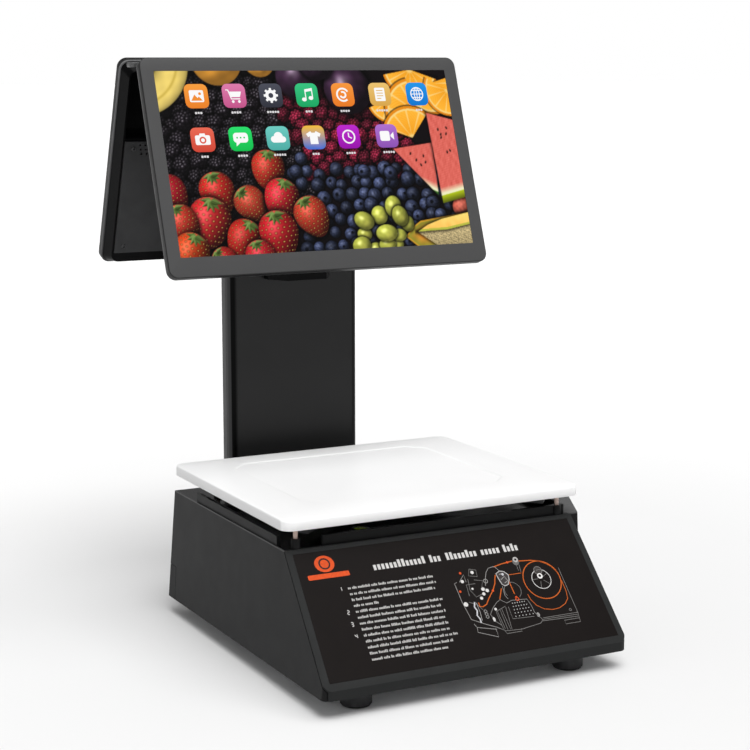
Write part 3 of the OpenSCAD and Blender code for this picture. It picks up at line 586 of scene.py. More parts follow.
def on_display(side, x, up, back):
    """A point on a display: across, up from its top edge along the glass, back from the glass.

    The rear display is the front one turned half round the column.
    """
    y = HEAD_TOP_Y + up * math.sin(TILT) + back * math.cos(TILT)
    z = HEAD_TOP_Z + up * math.cos(TILT) - back * math.sin(TILT)
    return place(x, y, z) if side == "front" else place(-x, 2 * HEAD_MID_Y - y, z)


def on_screen(side, x, y, proud):
    """A point of a display's picture, from its middle."""
    return on_display(side, x, y - SCREEN_TOP - SCREEN_H / 2, PICTURE_BACK - proud)


def add_border(side):
    """The cover glass's printed border, with a window that the picture shows through."""
    def ring(loop, back):
        return [on_display(side, x, y - DISPLAY_H / 2, back) for x, y in loop]

    def outline(inset):
        return rounded_loop(DISPLAY_W - 2 * inset, DISPLAY_H - 2 * inset, DISPLAY_CORNER - inset)

    edge, thick = 0.9, 1.8
    middle = DISPLAY_H / 2 - SCREEN_TOP - SCREEN_H / 2
    window = [(x, y + middle) for x, y in rounded_loop(SCREEN_W, SCREEN_H, 0.6)]
    opened = [(x * 1.0006, middle + (y - middle) * 1.001) for x, y in window]
    rings = [ring(window, 1.4), ring(window, 0.15), ring(opened, 0.0)]
    for step in range(5):
        x, y = polar(edge, 22.5 * step)
        rings.append(ring(outline(edge - y), edge - x))
    rings += [ring(outline(0), thick), ring(window, thick)]
    add_piece(side + "_border", lofted(rings, loop=True), "screen_glass", side + "_display", sharp=40,
              replaces=[side + "_glass"])


# ---------------------------------------------------------------- printed art

class Art:
    """Flat coloured shapes on a plane. Each layer lies a little above the one below it."""

    LAYER = 0.05
    # A seven-segment figure: each segment's two ends, in half heights, and the segments of each figure
    SEGMENTS = {"a": (0, 2, 1, 2), "b": (1, 2, 1, 1), "c": (1, 1, 1, 0), "d": (0, 0, 1, 0),
                "e": (0, 1, 0, 0), "f": (0, 2, 0, 1), "g": (0, 1, 1, 1)}
    FIGURES = ("abcdef", "bc", "abged", "abgcd", "fgbc", "afgcd", "afgedc", "abc", "abcdefg", "abcdfg")

    def __init__(self):
        self.points, self.faces, self.colours = [], [], []
        self.at = (0, 0)

    def shape(self, outline, colour, layer=1, low=None):
        """One outline in one colour, or shading evenly to a second colour at its lowest point."""
        start = len(self.points)
        heights = [p[1] for p in outline]
        bottom, top = min(heights), max(heights)
        for x, y in outline:
            self.points.append((self.at[0] + x, self.at[1] + y, layer * self.LAYER))
            share = (top - y) / (top - bottom) if low and top > bottom else 0.0
            self.colours.append([a + (b - a) * share for a, b in zip(colour, low or colour)])
        self.faces.append(tuple(range(start, start + len(outline))))

    def stroke(self, line, width, colour, layer=1, closed=False):
        """A line of even width through points."""
        count = len(line)
        sides = []
        for i, (x, y) in enumerate(line):
            before = line[i - 1] if i or closed else line[i]
            after = line[(i + 1) % count] if i < count - 1 or closed else line[i]
            dx, dy = after[0] - before[0], after[1] - before[1]
            length = math.hypot(dx, dy) or 1.0
            nx, ny = -dy / length * width / 2, dx / length * width / 2
            sides.append(((x + nx, y + ny), (x - nx, y - ny)))
        for i in range(count if closed else count - 1):
            a, b = sides[i], sides[(i + 1) % count]
            self.shape([a[0], a[1], b[1], b[0]], colour, layer)

    def strokes(self, width, colour, layer, *lines):
        for line in lines:
            self.stroke(line, width, colour, layer)

    def disc(self, x, y, radius, colour, layer=1, squash=1.0, count=28):
        self.shape([(x + px, y + py * squash) for px, py in ring_points(radius, count)], colour, layer)

    def ring(self, x, y, radius, width, colour, layer=1, start=0, end=360, count=40):
        closed = end - start >= 360
        steps = count if closed else max(4, int(count * (end - start) / 360))
        line = arc(x, y, radius, start, end, steps)
        self.stroke(line[:-1] if closed else line, width, colour, layer, closed)

    def block(self, x0, y0, x1, y1, colour, layer=1, radius=0.0, low=None):
        outline = [(x0, y0), (x1, y0), (x1, y1), (x0, y1)]
        if radius:
            loop = rounded_loop(x1 - x0, y1 - y0, radius, 4)
            outline = [((x0 + x1) / 2 + x, (y0 + y1) / 2 + y) for x, y in loop]
        self.shape(outline, colour, layer, low)

    def digit(self, x, y, value, height, width, colour, layer=1):
        """A seven-segment figure with its lower left corner at x, y."""
        for key in self.FIGURES[value]:
            ax, ay, bx, by = self.SEGMENTS[key]
            gap_x, gap_y = width * 0.35 * (bx - ax), width * 0.35 * (by - ay)
            start = (x + ax * height * 0.5 + gap_x, y + ay * height / 2 + gap_y)
            end = (x + bx * height * 0.5 - gap_x, y + by * height / 2 - gap_y)
            self.stroke([start, end], width, colour, layer)

    def digits(self, x, y, figures, height, width, colour):
        """Seven-segment figures; a point takes little room."""
        for figure in figures:
            if figure == ".":
                self.disc(x - height * 0.12, y, width * 0.7, colour, 3)
            else:
                self.digit(x, y, int(figure), height, width, colour, 3)
                x += height * 0.5 + width * 2.6

    def build(self, name, where, material, body, slot):
        shape = [where(*p) for p in self.points], self.faces
        paint_points(add_piece(name, shape, slot, body, material, smooth=False), self.colours)


def paint_points(piece, colours):
    """Stores one colour, 0 to 255 as the eye sees it, for each point of a piece."""
    values = np.clip(np.array(colours, float).reshape(-1, 3), 0, 255) / 255
    light = np.where(values <= 0.04045, values / 12.92, ((values + 0.055) / 1.055) ** 2.4)
    rows = np.ones((len(light), 4), np.float32)
    rows[:, :3] = light
    layer = piece.data.color_attributes.new("ink", "FLOAT_COLOR", "POINT")
    layer.data.foreach_set("color", rows.ravel())


# ---------------------------------------------------------------- the screen's picture of fruit

SUN = np.array([-0.45, 0.55, 0.70])
SUN /= np.linalg.norm(SUN)
GLINT = SUN + (0.0, 0.0, 1.0)
GLINT /= np.linalg.norm(GLINT)
PITH = (240, 238, 196)


def blend(a, b, share):
    """Colour a where share is 0, b where it is 1."""
    share = share[..., None]
    return a * (1 - share) + np.array(b) * share


def swap(a, b, where):
    """Colour a, or b where the condition holds."""
    return np.where(where[..., None], np.array(b), a)


def scaled(colour, strength):
    """A colour times a strength for each point."""
    return np.array(colour, float) * strength[..., None]


def dimmed(colour, tone):
    return [c * tone for c in colour]


def within(inside, depth):
    """A depth that counts only where a condition holds."""
    return np.where(inside, depth, -1e9)


class Picture:
    """A painted picture in millimetres from its middle. Later fruit lie on top of earlier ones."""

    def __init__(self, width, height, step):
        self.fine = step / 2
        self.columns = 2 * round(width / step)
        self.rows = 2 * round(height / step)
        self.width, self.height = width, height
        xs = (np.arange(self.columns) + 0.5) / self.columns * width - width / 2
        ys = (np.arange(self.rows) + 0.5) / self.rows * height - height / 2
        self.x, self.y = np.meshgrid(xs, ys)
        self.rgb = np.zeros((self.rows, self.columns, 3)) + (16, 11, 14)
        self.random = np.random.default_rng(7)

    def window(self, x, y, reach, turn=0.0):
        """The part of the picture near a point, with coordinates turned and measured from it."""
        near = self.columns / self.width
        i0 = max(0, int((x - reach + self.width / 2) * near))
        i1 = min(self.columns, int((x + reach + self.width / 2) * near) + 1)
        j0 = max(0, int((y - reach + self.height / 2) * near))
        j1 = min(self.rows, int((y + reach + self.height / 2) * near) + 1)
        part = (slice(j0, j1), slice(i0, i1))
        dx, dy = self.x[part] - x, self.y[part] - y
        c, s = polar(1, turn)
        return part, dx * c + dy * s, dy * c - dx * s, (c, s)

    def lay(self, part, colour, depth):
        """Paints colour over a shape, softly at its edge; depth is how far inside it each point lies."""
        self.rgb[part] = blend(self.rgb[part], np.clip(colour, 0, 255), np.clip(depth / self.fine + 0.5, 0, 1))

    def shadow(self, part, strength, past, softness):
        """Darkens what lies just past a shape's edge."""
        dark = strength * np.exp(-np.clip(past, 0, 99) ** 2 / softness)
        self.rgb[part] *= (1 - np.clip(dark, 0, 1))[..., None]

    def grain(self, part, size, seed):
        """Smooth random values, about -1 to 1, a few waves added together."""
        rng = np.random.default_rng(seed)
        total = 0
        for _ in range(5):
            angle, phase = rng.uniform(0, 2 * math.pi, 2)
            turn = self.x[part] * math.cos(angle) + self.y[part] * math.sin(angle)
            total = total + np.sin(turn * 2 * math.pi / size * rng.uniform(0.6, 1.5) + phase)
        return total / 2.6

    def solid(self, u, v, axes, colour, shine, sharp, ambient=0.30):
        """The colour of a rounded body whose surface leans by u and v, each -1 to 1."""
        c, s = axes
        lean_x, lean_y = u * c - v * s, u * s + v * c
        lift = np.sqrt(np.clip(1 - lean_x ** 2 - lean_y ** 2, 0, 1))
        light = np.clip(lean_x * SUN[0] + lean_y * SUN[1] + lift * SUN[2], 0, 1)
        glint = np.clip(lean_x * GLINT[0] + lean_y * GLINT[1] + lift * GLINT[2], 0, 1) ** sharp
        return scaled(colour, ambient + (1.15 - ambient) * light) + 255 * shine * glint[..., None]

    def ball(self, x, y, rx, ry=None, turn=0.0, colour=(200, 200, 200), shine=0.35, sharp=40, shadow=0.75,
             mottle=0.0, ambient=0.30):
        ry = ry or rx
        part, du, dv, axes = self.window(x, y, max(rx, ry) * 1.35, turn)
        u, v = du / rx, dv / ry
        d = np.hypot(u, v)
        self.shadow(part, shadow * (d > 1), d - 1, 0.035)
        skin = self.solid(u, v, axes, colour, shine, sharp, ambient)
        if mottle:
            skin = scaled(skin, 1 + mottle * self.grain(part, rx * 0.5, int(abs(x * 7 + y * 3))))
        self.lay(part, skin, (1 - d) * min(rx, ry))

    def berry(self, x, y, size, colour, count=34, gloss=0.5, turn=0.0):
        """A bramble fruit: many small shiny beads over a ball, the outer ones first."""
        part, du, dv, _ = self.window(x, y, size * 1.3)
        self.shadow(part, 0.85, np.hypot(du, dv) / size - 0.9, 0.05)
        golden = math.pi * (3 - math.sqrt(5))
        for k in range(count, 0, -1):
            out = math.sqrt((k - 0.5) / count)
            angle = turn + k * golden
            lift = math.sqrt(1 - out * out * 0.9)
            bead = size * (0.17 + 0.07 * lift)
            tone = 0.45 + 0.65 * lift + self.random.uniform(-0.08, 0.08)
            self.ball(x + size * 0.86 * out * math.cos(angle), y + size * 0.86 * out * math.sin(angle), bead,
                      colour=dimmed(colour, tone), shine=gloss * lift, sharp=26, shadow=0.7)

    def leaf(self, x, y, length, width, turn, colour):
        """A pointed leaf from its stem at x, y."""
        part, u, v, axes = self.window(x, y, length * 1.1, turn)
        t = np.clip(u / length, 0, 1)
        half = width * np.sin(math.pi * np.sqrt(t)) * (1 - 0.25 * t) + 1e-6
        across = v / half
        skin = self.solid(u * 0, np.clip(across, -1, 1) * 0.7, axes, colour, 0.15, 12)
        skin = scaled(skin, 1 - 0.35 * np.exp(-(across / 0.12) ** 2))
        self.lay(part, skin, within((u > 0) & (u < length), (1 - np.abs(across)) * half))

    def strawberry(self, x, y, size, turn, colour):
        """Hangs from a crown of leaves at its upper end; turn 0 points its tip down."""
        part, u, v, axes = self.window(x, y, size * 1.5, turn)
        up = v / size
        half = size * 0.98 * np.sqrt(np.clip(1 - up ** 2, 0, 1)) * np.clip(0.84 + 0.18 * up, 0.4, 1.1) + 1e-6
        across = u / half
        around = np.hypot(u / (size * 0.8), v / size)
        self.shadow(part, 0.8, around - 0.95, 0.04)
        skin = self.solid(across * 0.92, up * 0.75, axes, colour, 0.22, 18)
        wrap = np.arcsin(np.clip(across, -1, 1)) * 3.0
        row = up * 5.2
        stagger = np.floor(row) % 2 * 0.5
        seed = np.hypot((wrap + stagger) % 1 - 0.5, (row % 1 - 0.5) * 0.9)
        skin = scaled(skin, 1 - 0.45 * np.exp(-(seed / 0.27) ** 2))
        skin = swap(skin, (203.4, 167.4, 86.4), seed < 0.12)
        skin = blend(skin, (236, 150, 110), np.clip((up - 0.72) / 0.3, 0, 1) * 0.5)
        self.lay(part, skin, within(np.abs(up) < 1, (1 - np.abs(across)) * half))
        c, s = axes
        crown_x, crown_y = x - s * size * 0.86, y + c * size * 0.86
        for k in range(6):
            self.leaf(crown_x, crown_y, size * 0.46, size * 0.13, turn - 175 + 34 * k, (84, 112, 46))

    def citrus(self, x, y, size, turn, opening=180):
        """A wedge cut from an orange: rind, pith and radial cells."""
        part, u, v, _ = self.window(x, y, size * 1.05, turn)
        d = np.hypot(u, v) / size
        angle = np.degrees(np.arctan2(v, u)) % 360
        inside = (angle < opening) & (d < 1)
        cell = angle / 30 % 1
        wall = np.exp(-((cell - 0.5) / 0.06) ** 2) + np.exp(-((d - 0.05) / 0.07) ** 2)
        streak = np.sin(angle * 1.7) * np.sin(d * 60 + angle) * 12
        flesh = blend((238, 158, 30) + (streak + d * 30)[..., None], (250, 222, 150), np.clip(wall, 0, 0.75))
        skin = swap(swap(flesh, (250, 214, 130), d >= 0.86), (232, 140, 22), d >= 0.92)
        self.shadow(part, 0.5 * ((angle < opening + 8) & (d < 1.05)), d * 0, 1)
        self.lay(part, skin, np.where(inside, self.fine, -self.fine))

    def region(self, corners):
        """The picture around a convex shape: part, coordinates and how far inside each point lies."""
        xs, ys = [c[0] for c in corners], [c[1] for c in corners]
        middle = (sum(xs) / len(xs), sum(ys) / len(ys))
        reach = max(math.hypot(a - middle[0], b - middle[1]) for a, b in corners) + 3
        part = self.window(*middle, reach)[0]
        px, py = self.x[part], self.y[part]
        inside = np.full(px.shape, 1e9)
        for (ax, ay), (bx, by) in zip(corners, corners[1:] + corners[:1]):
            length = math.hypot(bx - ax, by - ay)
            inside = np.minimum(inside, ((bx - ax) * (py - ay) - (by - ay) * (px - ax)) / length)
        self.shadow(part, 0.6 * (inside < 0), -inside, 6)
        return part, px, py, inside

    def melon_slice(self, corners, rind_from, rind_to, flesh, rind, thick, seeds=0):
        """A flat slice with straight sides whose rind, of a thickness, runs along one of them."""
        part, px, py, inside = self.region(corners)
        (ax, ay), (bx, by) = rind_from, rind_to
        depth = np.abs((bx - ax) * (py - ay) - (by - ay) * (px - ax)) / math.hypot(bx - ax, by - ay)
        grainy = self.grain(part, 9, 3) * 6 + self.grain(part, 2.5, 5) * 6
        body = blend(flesh + grainy[..., None], PITH, np.clip((thick + 9 - depth) / 7, 0, 1))
        skin = scaled(rind, 0.55 + 0.6 * np.clip(depth / thick, 0, 1))
        self.lay(part, swap(body, skin, depth < thick), inside)
        for _ in range(seeds):
            t, w = self.random.uniform(0.2, 0.6), self.random.uniform(0.1, 0.4)
            spot = [a + (b - a) * w + (c - a) * t for a, b, c in zip(corners[0], corners[1], corners[-1])]
            self.ball(*spot, 1.0, 1.7, self.random.uniform(-30, 30), (60, 28, 22), 0.3, shadow=0.3)

    def cantaloupe(self):
        """Half a netted melon in the lower right corner, with a slice lying across it."""
        bowl = [(90, -88), (102, -98.6), (106, -102), (180, -102), (180, -63), (172, -64), (154, -61.2),
                (136, -61.8), (118, -67.4), (103, -76.4)]
        part, _, _, inside = self.region(bowl)
        flesh = blend(np.array((126, 140, 46)), (226, 146, 52), np.clip(inside / 12, 0, 1))
        flesh = scaled(flesh, 1 + 0.06 * self.grain(part, 14, 4))
        self.lay(part, blend(flesh, (214, 158, 44), np.clip((2.2 - inside) / 1.2, 0, 1)), inside)
        net = [(106, -83.4), (112, -90), (126, -98.4), (131, -102), (180, -102), (180, -76), (172, -76.8)]
        part, _, py, inside = self.region(net)
        mesh = self.grain(part, 3.4, 21) * self.grain(part, 2.7, 22) + 0.6 * self.grain(part, 1.9, 23)
        tone = 0.9 - 0.34 * np.clip(mesh * 1.6, -0.6, 1) + 0.010 * (py + 90)
        self.lay(part, scaled((204, 184, 134), np.clip(tone, 0.3, 1.2)), inside)
        cut = [(106, -83.4), (143, -82.4), (172, -77.4), (180, -76), (180, -63), (172, -64.4), (139, -70),
               (119, -76.4)]
        part, px, py, inside = self.region(cut)
        body = (250, 196, 92) + (np.clip((py + 83) * 1.6, 0, 30) + 5 * self.grain(part, 12, 6))[..., None]
        under = py + 83.4 - np.clip(px - 106, 0, 99) * 0.03 - np.clip(px - 143, 0, 99) * 0.14
        self.lay(part, swap(body, (186, 190, 70), under < 2.4), inside)

    def blueberry(self, x, y, size):
        tone = self.random.uniform(0.55, 1.2)
        self.ball(x, y, size, colour=dimmed((50, 58, 86), tone), shine=0.16, sharp=9, mottle=0.2)
        angle, out = self.random.uniform(0, 2 * math.pi), self.random.uniform(0.1, 0.6) * size
        cx, cy = x + out * math.cos(angle), y + out * math.sin(angle)
        if self.random.random() < 0.6:
            self.ball(cx, cy, size * 0.34, colour=dimmed((74, 84, 116), tone), shine=0.0, shadow=0.2)
            self.ball(cx, cy, size * 0.22, colour=(14, 16, 28), shine=0.0, shadow=0.0)

    def grape(self, x, y, wide, tall, turn):
        """Thin-skinned, with light glowing through its far side."""
        tone = self.random.uniform(0.86, 1.04)
        self.ball(x, y, wide, tall, turn, dimmed((178, 182, 74), tone), 0.34, 30, mottle=0.05, ambient=0.5)
        part, u, v, _ = self.window(x + wide * 0.25, y - wide * 0.3, wide, turn)
        glow = np.exp(-(u ** 2 + v ** 2) / (wide * 0.45) ** 2)
        self.rgb[part] += scaled((44, 40, 22), glow)

    def banana(self, x, y, radius, thick, start, end):
        """A curved stick of even thickness about a centre of curvature."""
        part, u, v, _ = self.window(x, y, radius + thick * 1.5)
        d = (np.hypot(u, v) - radius) / thick
        angle = np.degrees(np.arctan2(v, u)) % 360
        inside = (angle > start) & (angle < end)
        skin = scaled((224, 198, 106), 0.55 + 0.55 * np.sqrt(np.clip(1 - d ** 2, 0, 1)))
        skin = skin - (np.exp(-((d - 0.25) / 0.09) ** 2) * 34)[..., None]
        skin = scaled(skin, 1 + 0.03 * self.grain(part, 17, 9))
        self.shadow(part, 0.6 * inside * (np.abs(d) > 1), np.abs(d) - 1, 0.08)
        self.lay(part, skin, within(inside, (1 - np.abs(d)) * thick))

    def scatter(self, x0, y0, x1, y1, pitch, jitter=0.25):
        """Places on a loose triangular grid between two lines of y, from the top row down."""
        y, row = y1, 0
        while y >= y0:
            x = x0 + (row % 2) * pitch / 2
            while x <= x1:
                yield [at + self.random.uniform(-jitter, jitter) * pitch for at in (x, y)]
                x += pitch
            y -= pitch * 0.86
            row += 1

    def colours(self):
        """The colour of each cell of the picture's coarser grid, two fine cells to a side."""
        return self.rgb.reshape(self.rows // 2, 2, self.columns // 2, 2, 3).mean((1, 3))


def paint_fruit(step):
    """A market stall: bramble fruit, citrus, melon, strawberries, blueberries and grapes."""
    view = Picture(SCREEN_W, SCREEN_H, step)
    rng = view.random
    for x, y in view.scatter(-176, -60, -4, 100, 17):
        view.berry(x, y, rng.uniform(10.5, 13), (29, 24, 30), turn=rng.uniform(0, 6))
    for x, y in view.scatter(-30, -20, 108, 74, 14.5):
        if x + y * 0.2 > -22 + rng.uniform(-12, 12):
            tone = rng.uniform(0.65, 1.1)
            size = rng.uniform(8.5, 10.5)
            view.berry(x, y, size, dimmed((142, 28, 56), tone), 30, 0.24, rng.uniform(0, 6))
    for x, y, size in ((-8, 92, 27), (48, 78, 28), (14, 108, 20)):
        view.ball(x, y, size, colour=(58, 36, 58), shine=0.42, sharp=26, mottle=0.10)
    for x, y, size in ((-101, 112, 29), (-52, 110, 18)):
        view.ball(x, y, size, colour=(238, 164, 60), shine=0.22, sharp=14, mottle=0.06, ambient=0.6)
    view.banana(-206, 138, 62, 15, 262, 352)
    view.banana(-196, 114, 47, 17, 250, 360)
    for x, y, size, turn, opening in (
            (128, 100, 34, 190, 150), (96, 66, 27, 200, 180), (128, 52, 38, 100, 120),
            (150, 84, 36, 225, 150), (118, 22, 36, 50, 110), (172, 76, 30, 150, 180)):
        view.citrus(x, y, size, turn, opening)
    for x, y in view.scatter(-30, -100, 176, -14, 15.5, 0.2):
        if y < 4 - abs(x - 60) * 0.12 and y < 2:
            view.blueberry(x, y, rng.uniform(6.2, 8.4))
    for x, y in ((52, -14), (84, -17), (104, -24), (-20, 2), (-28, -12)):
        view.blueberry(x, y, rng.uniform(7, 8.6))
    red = (222, 104, 92)
    view.melon_slice([(92, 10), (139, -44), (141, 16)], (139, -44), (172, -60), red, (58, 110, 40), 3.6, 5)
    view.ball(166, -58, 12, colour=(196, 92, 74), shine=0.1, sharp=10, mottle=0.1)
    view.melon_slice([(140, 50), (143, -53), (176, -46), (178, 40)], (143, -53), (176, -46), red,
                     (162, 178, 26), 8.5, 7)
    for x, y, size, turn in (
            (-171, -32, 20, 30), (-60, -10, 21, -8), (-120, -33, 22, 14), (-84, -46, 20, 40),
            (-50, -42, 22, -20), (-134, -64, 26, -12), (-164, -64, 20, 18), (-17, -62, 22, 24),
            (-99, -84, 22, -30), (-58, -80, 25, 6), (-160, -96, 22, -24), (-82, -104, 19, 16),
            (-122, -106, 16, 40)):
        ripe = (rng.uniform(176, 206), rng.uniform(26, 66), rng.uniform(26, 46))
        view.strawberry(x, y, size * 1.06, turn, ripe)
    view.cantaloupe()
    for x, y, wide, tall, turn in (
            (94.6, -73.7, 8, 9, 0), (78, -96, 8, 7, 0), (52.3, -100, 10, 7, 0), (66.5, -95.6, 10, 8, 10),
            (82.3, -86.2, 9, 7, 0), (41, -83.4, 8.6, 7.4, 0), (35.5, -95.2, 11, 9, 20),
            (62.3, -63.3, 9.6, 10.4, 0), (43, -68.6, 12, 9.6, -24), (67.7, -83.3, 12.8, 9.4, 4),
            (80.4, -54.3, 9.8, 12, -10), (87, -65, 9.4, 11.4, 12)):
        view.grape(x, y, wide, tall, turn)
    return view


def add_picture(side, view, first_share=0.0):
    """Lays a painted picture on a screen as a fine mesh whose points carry its colours."""
    colours = view.colours()
    rows, columns = colours.shape[:2]
    first = round(first_share * columns)
    xs = np.linspace(-view.width / 2, view.width / 2, columns)[first:]
    ys = np.linspace(-view.height / 2, view.height / 2, rows)
    corner, across, up = (np.array(on_screen(side, x, y, 0)) for x, y in ((0, 0), (1, 0), (0, 1)))
    grid_x, grid_y = (grid[..., None] for grid in np.meshgrid(xs, ys))
    points = corner + grid_x * (across - corner) + grid_y * (up - corner)
    wide = columns - first
    start = (np.arange(rows - 1)[:, None] * wide + np.arange(wide - 1)[None]).ravel()
    faces = np.stack([start, start + 1, start + wide + 1, start + wide], 1)
    piece = add_piece(side + "_picture", (points.reshape(-1, 3), faces.tolist()), "lcd", side + "_display",
                      "lit_screen")
    paint_points(piece, colours[:, first:])


# ---------------------------------------------------------------- the screens

WHITE = (250, 250, 250)
# Layers: a tile, the sign on it, and what is cut out of the sign
TILE, SIGN, CUT = 2, 3, 4


def glyph_picture(a, ground):
    a.block(-8, -6.5, 8, 6.5, WHITE, SIGN, 1.6)
    a.disc(3.8, 2.6, 1.6, ground, CUT)
    a.shape([(-6.5, -5), (-2.2, 1.8), (0.8, -2), (2.6, -0.4), (6.5, -5)], ground, CUT)


def glyph_cart(a, ground):
    a.stroke([(-9, 6.5), (-6.4, 6.5), (-3.6, -3.4), (6.4, -3.4)], 1.3, WHITE, SIGN)
    a.shape([(-5, 4.6), (8.4, 4.6), (6.4, -1.4), (-3.6, -1.4)], WHITE, SIGN)
    for x in (-2, 5):
        a.disc(x, -6.3, 1.5, WHITE, SIGN)


def glyph_gear(a, ground):
    for turn in range(0, 360, 45):
        a.stroke([polar(4.5, turn), polar(8.2, turn)], 2.6, WHITE, SIGN)
    a.ring(0, 0, 4.5, 3.4, WHITE, SIGN)


def glyph_note(a, ground):
    for x, y in ((-3.8, -4.8), (4.2, -3.3)):
        a.disc(x, y, 2.7, WHITE, SIGN, 0.8)
        a.stroke([(x + 2.1, y), (x + 2.1, y + 10.6)], 1.2, WHITE, SIGN)
    a.shape([(-2.3, 6.4), (6.9, 7.9), (6.9, 4.9), (-2.3, 3.4)], WHITE, SIGN)


def glyph_swirl(a, ground):
    a.ring(0, 0, 7, 2, WHITE, SIGN, 30, 310)
    a.ring(0, 0, 3.2, 2, WHITE, SIGN, 200, 480)


def glyph_notepad(a, ground):
    a.block(-6.2, -7.6, 6.2, 7.6, WHITE, SIGN, 1.4)
    for y in (4.4, 1.4, -1.6, -4.6):
        a.block(-4, y - 0.5, 4 if y > -4 else 1, y + 0.5, ground, CUT)


def glyph_globe(a, ground):
    a.ring(0, 0, 7.4, 1.2, WHITE, SIGN, count=28)
    a.stroke([(x * 3.2 / 7.4, y) for x, y in ring_points(7.4, 28)], 1.0, WHITE, SIGN, True)
    a.strokes(0.9, WHITE, SIGN, [(-7.4, 0), (7.4, 0)], [(0, -7.4), (0, 7.4)], [(-6, 4), (6, 4)],
              [(-6, -4), (6, -4)])


def glyph_camera(a, ground):
    a.block(-8.4, -5.6, 8.4, 4.8, WHITE, SIGN, 1.8)
    a.block(-3.2, 4.4, 3.2, 6.8, WHITE, SIGN, 0.8)
    a.disc(0, -0.5, 3.8, ground, CUT)
    a.disc(0, -0.5, 2.1, WHITE, CUT + 1)


def glyph_chat(a, ground):
    a.block(-8.4, -4, 8.4, 6.8, WHITE, SIGN, 3.6)
    a.shape([(-5.4, -3), (-0.8, -3.8), (-5.8, -8)], WHITE, SIGN)
    for x in (-4, 0, 4):
        a.disc(x, 1.4, 1.0, ground, CUT)


def glyph_cloud(a, ground):
    for x, y, radius in ((-4.6, -1.2, 3.6), (0.8, 1.6, 5.2), (6, -1.4, 3.3)):
        a.disc(x, y, radius, WHITE, SIGN)
    a.block(-4.8, -4.8, 6, -0.5, WHITE, SIGN)


def glyph_shirt(a, ground):
    half = [(1.8, 5.2), (3.2, 7), (8.6, 4), (6.8, 0.4), (4.6, 1.4), (4.6, -7.4)]
    a.shape(half + [(-x, y) for x, y in reversed(half)], WHITE, SIGN)


def glyph_clock(a, ground):
    a.ring(0, 0, 7, 1.7, WHITE, SIGN, count=28)
    a.stroke([(0, 4.4), (0, 0), (3.4, -1.8)], 1.4, WHITE, SIGN)


def glyph_video(a, ground):
    a.block(-8.2, -5.6, 3.6, 5.6, WHITE, SIGN, 2)
    a.shape([(4.6, 0.8), (8.6, 4.4), (8.6, -4.4), (4.6, -0.8)], WHITE, SIGN)


# Each row's height, and its tiles from left to right: place, upper and lower colour, sign
ROWS = (
    (72, ((-128.5, (248, 158, 62), (236, 128, 38), glyph_picture),
          (-86, (222, 124, 172), (196, 84, 138), glyph_cart),
          (-43.8, (76, 78, 90), (48, 50, 60), glyph_gear),
          (-1.5, (54, 196, 128), (24, 166, 98), glyph_note),
          (41.5, (248, 152, 60), (234, 122, 36), glyph_swirl),
          (86.6, (236, 196, 112), (216, 166, 76), glyph_notepad),
          (132.6, (34, 150, 234), (10, 118, 208), glyph_globe))),
    (24.8, ((-128.6, (234, 104, 82), (208, 70, 54), glyph_camera),
            (-85.9, (40, 224, 108), (14, 190, 78), glyph_chat),
            (-43.3, (110, 204, 194), (76, 172, 164), glyph_cloud),
            (-1.2, (246, 190, 60), (70, 110, 214), glyph_shirt),
            (40.5, (190, 40, 206), (150, 12, 170), glyph_clock),
            (86.8, (176, 112, 208), (140, 82, 180), glyph_video))))


def add_icons():
    """Rows of plain application tiles, each with a few blocks where its name would be."""
    art = Art()
    for y, row in ROWS:
        for n, (x, high, low, glyph) in enumerate(row):
            art.at = (x, y)
            art.block(-13.2, -13.2, 13.2, 13.2, high, TILE, 6.4, low)
            glyph(art, [(a + b) / 2 for a, b in zip(high, low)])
            signs = 3 + n * 7 % 3
            for k in range(signs):
                left = (k - signs / 2) * 2.9
                art.block(left, -19.5 + k % 2 * 0.3, left + 2.3, -17.1, (222, 220, 222), TILE, 0.5)
    art.build("front_icons", lambda *p: on_screen("front", *p), "lit_screen", "front_display", "lcd")


def add_customer_view():
    """The shopper's screen: weight, price and total as figures, with bars in place of words."""
    art = Art()
    art.block(-172, -99.4, 20, 99.4, (22, 30, 42), 1)
    for x, y, wide, figures in ((-164, 44, 176, "0.450"), (-164, -10, 84, "2.80"), (-72, -10, 84, "12")):
        art.block(x, y, x + wide, y + 46, (38, 50, 68), TILE, 4)
        art.block(x + 5, y + 37, x + 34, y + 40.5, (140, 156, 178), SIGN, 1.2)
        art.digits(x + 9, y + 8, figures, 22, 2.8, (120, 226, 190))
    art.block(-164, -90, 12, -18, (226, 96, 40), TILE, 4)
    art.block(-158, -28, -118, -23.5, (255, 214, 190), SIGN, 1.4)
    art.digits(-104, -78, "1.26", 40, 5.2, WHITE)
    art.build("rear_figures", lambda *p: on_screen("rear", *p), "lit_screen", "rear_display", "lcd")


# ---------------------------------------------------------------- the printed label

SLOPE = math.atan2(DECK_Z - LIP_Z, DECK_FRONT_Y)
ORANGE = (216, 80, 30)
PALE = (206, 204, 202)
SMALL = (188, 186, 184)
LINE_ORANGE = (196, 92, 26)
GREY = (122, 120, 118)
SOFT = (150, 148, 146)
BRIGHT = (176, 174, 172)
SHINY = (196, 196, 200)
DARK = (38, 31, 31)


def on_label(x, up, proud):
    """A point over the label: across, up the slope from the lip, and out from the film."""
    out = 0.1 + proud
    return place(x, up * math.cos(SLOPE) - out * math.sin(SLOPE),
                 LIP_Z + up * math.sin(SLOPE) + out * math.cos(SLOPE))


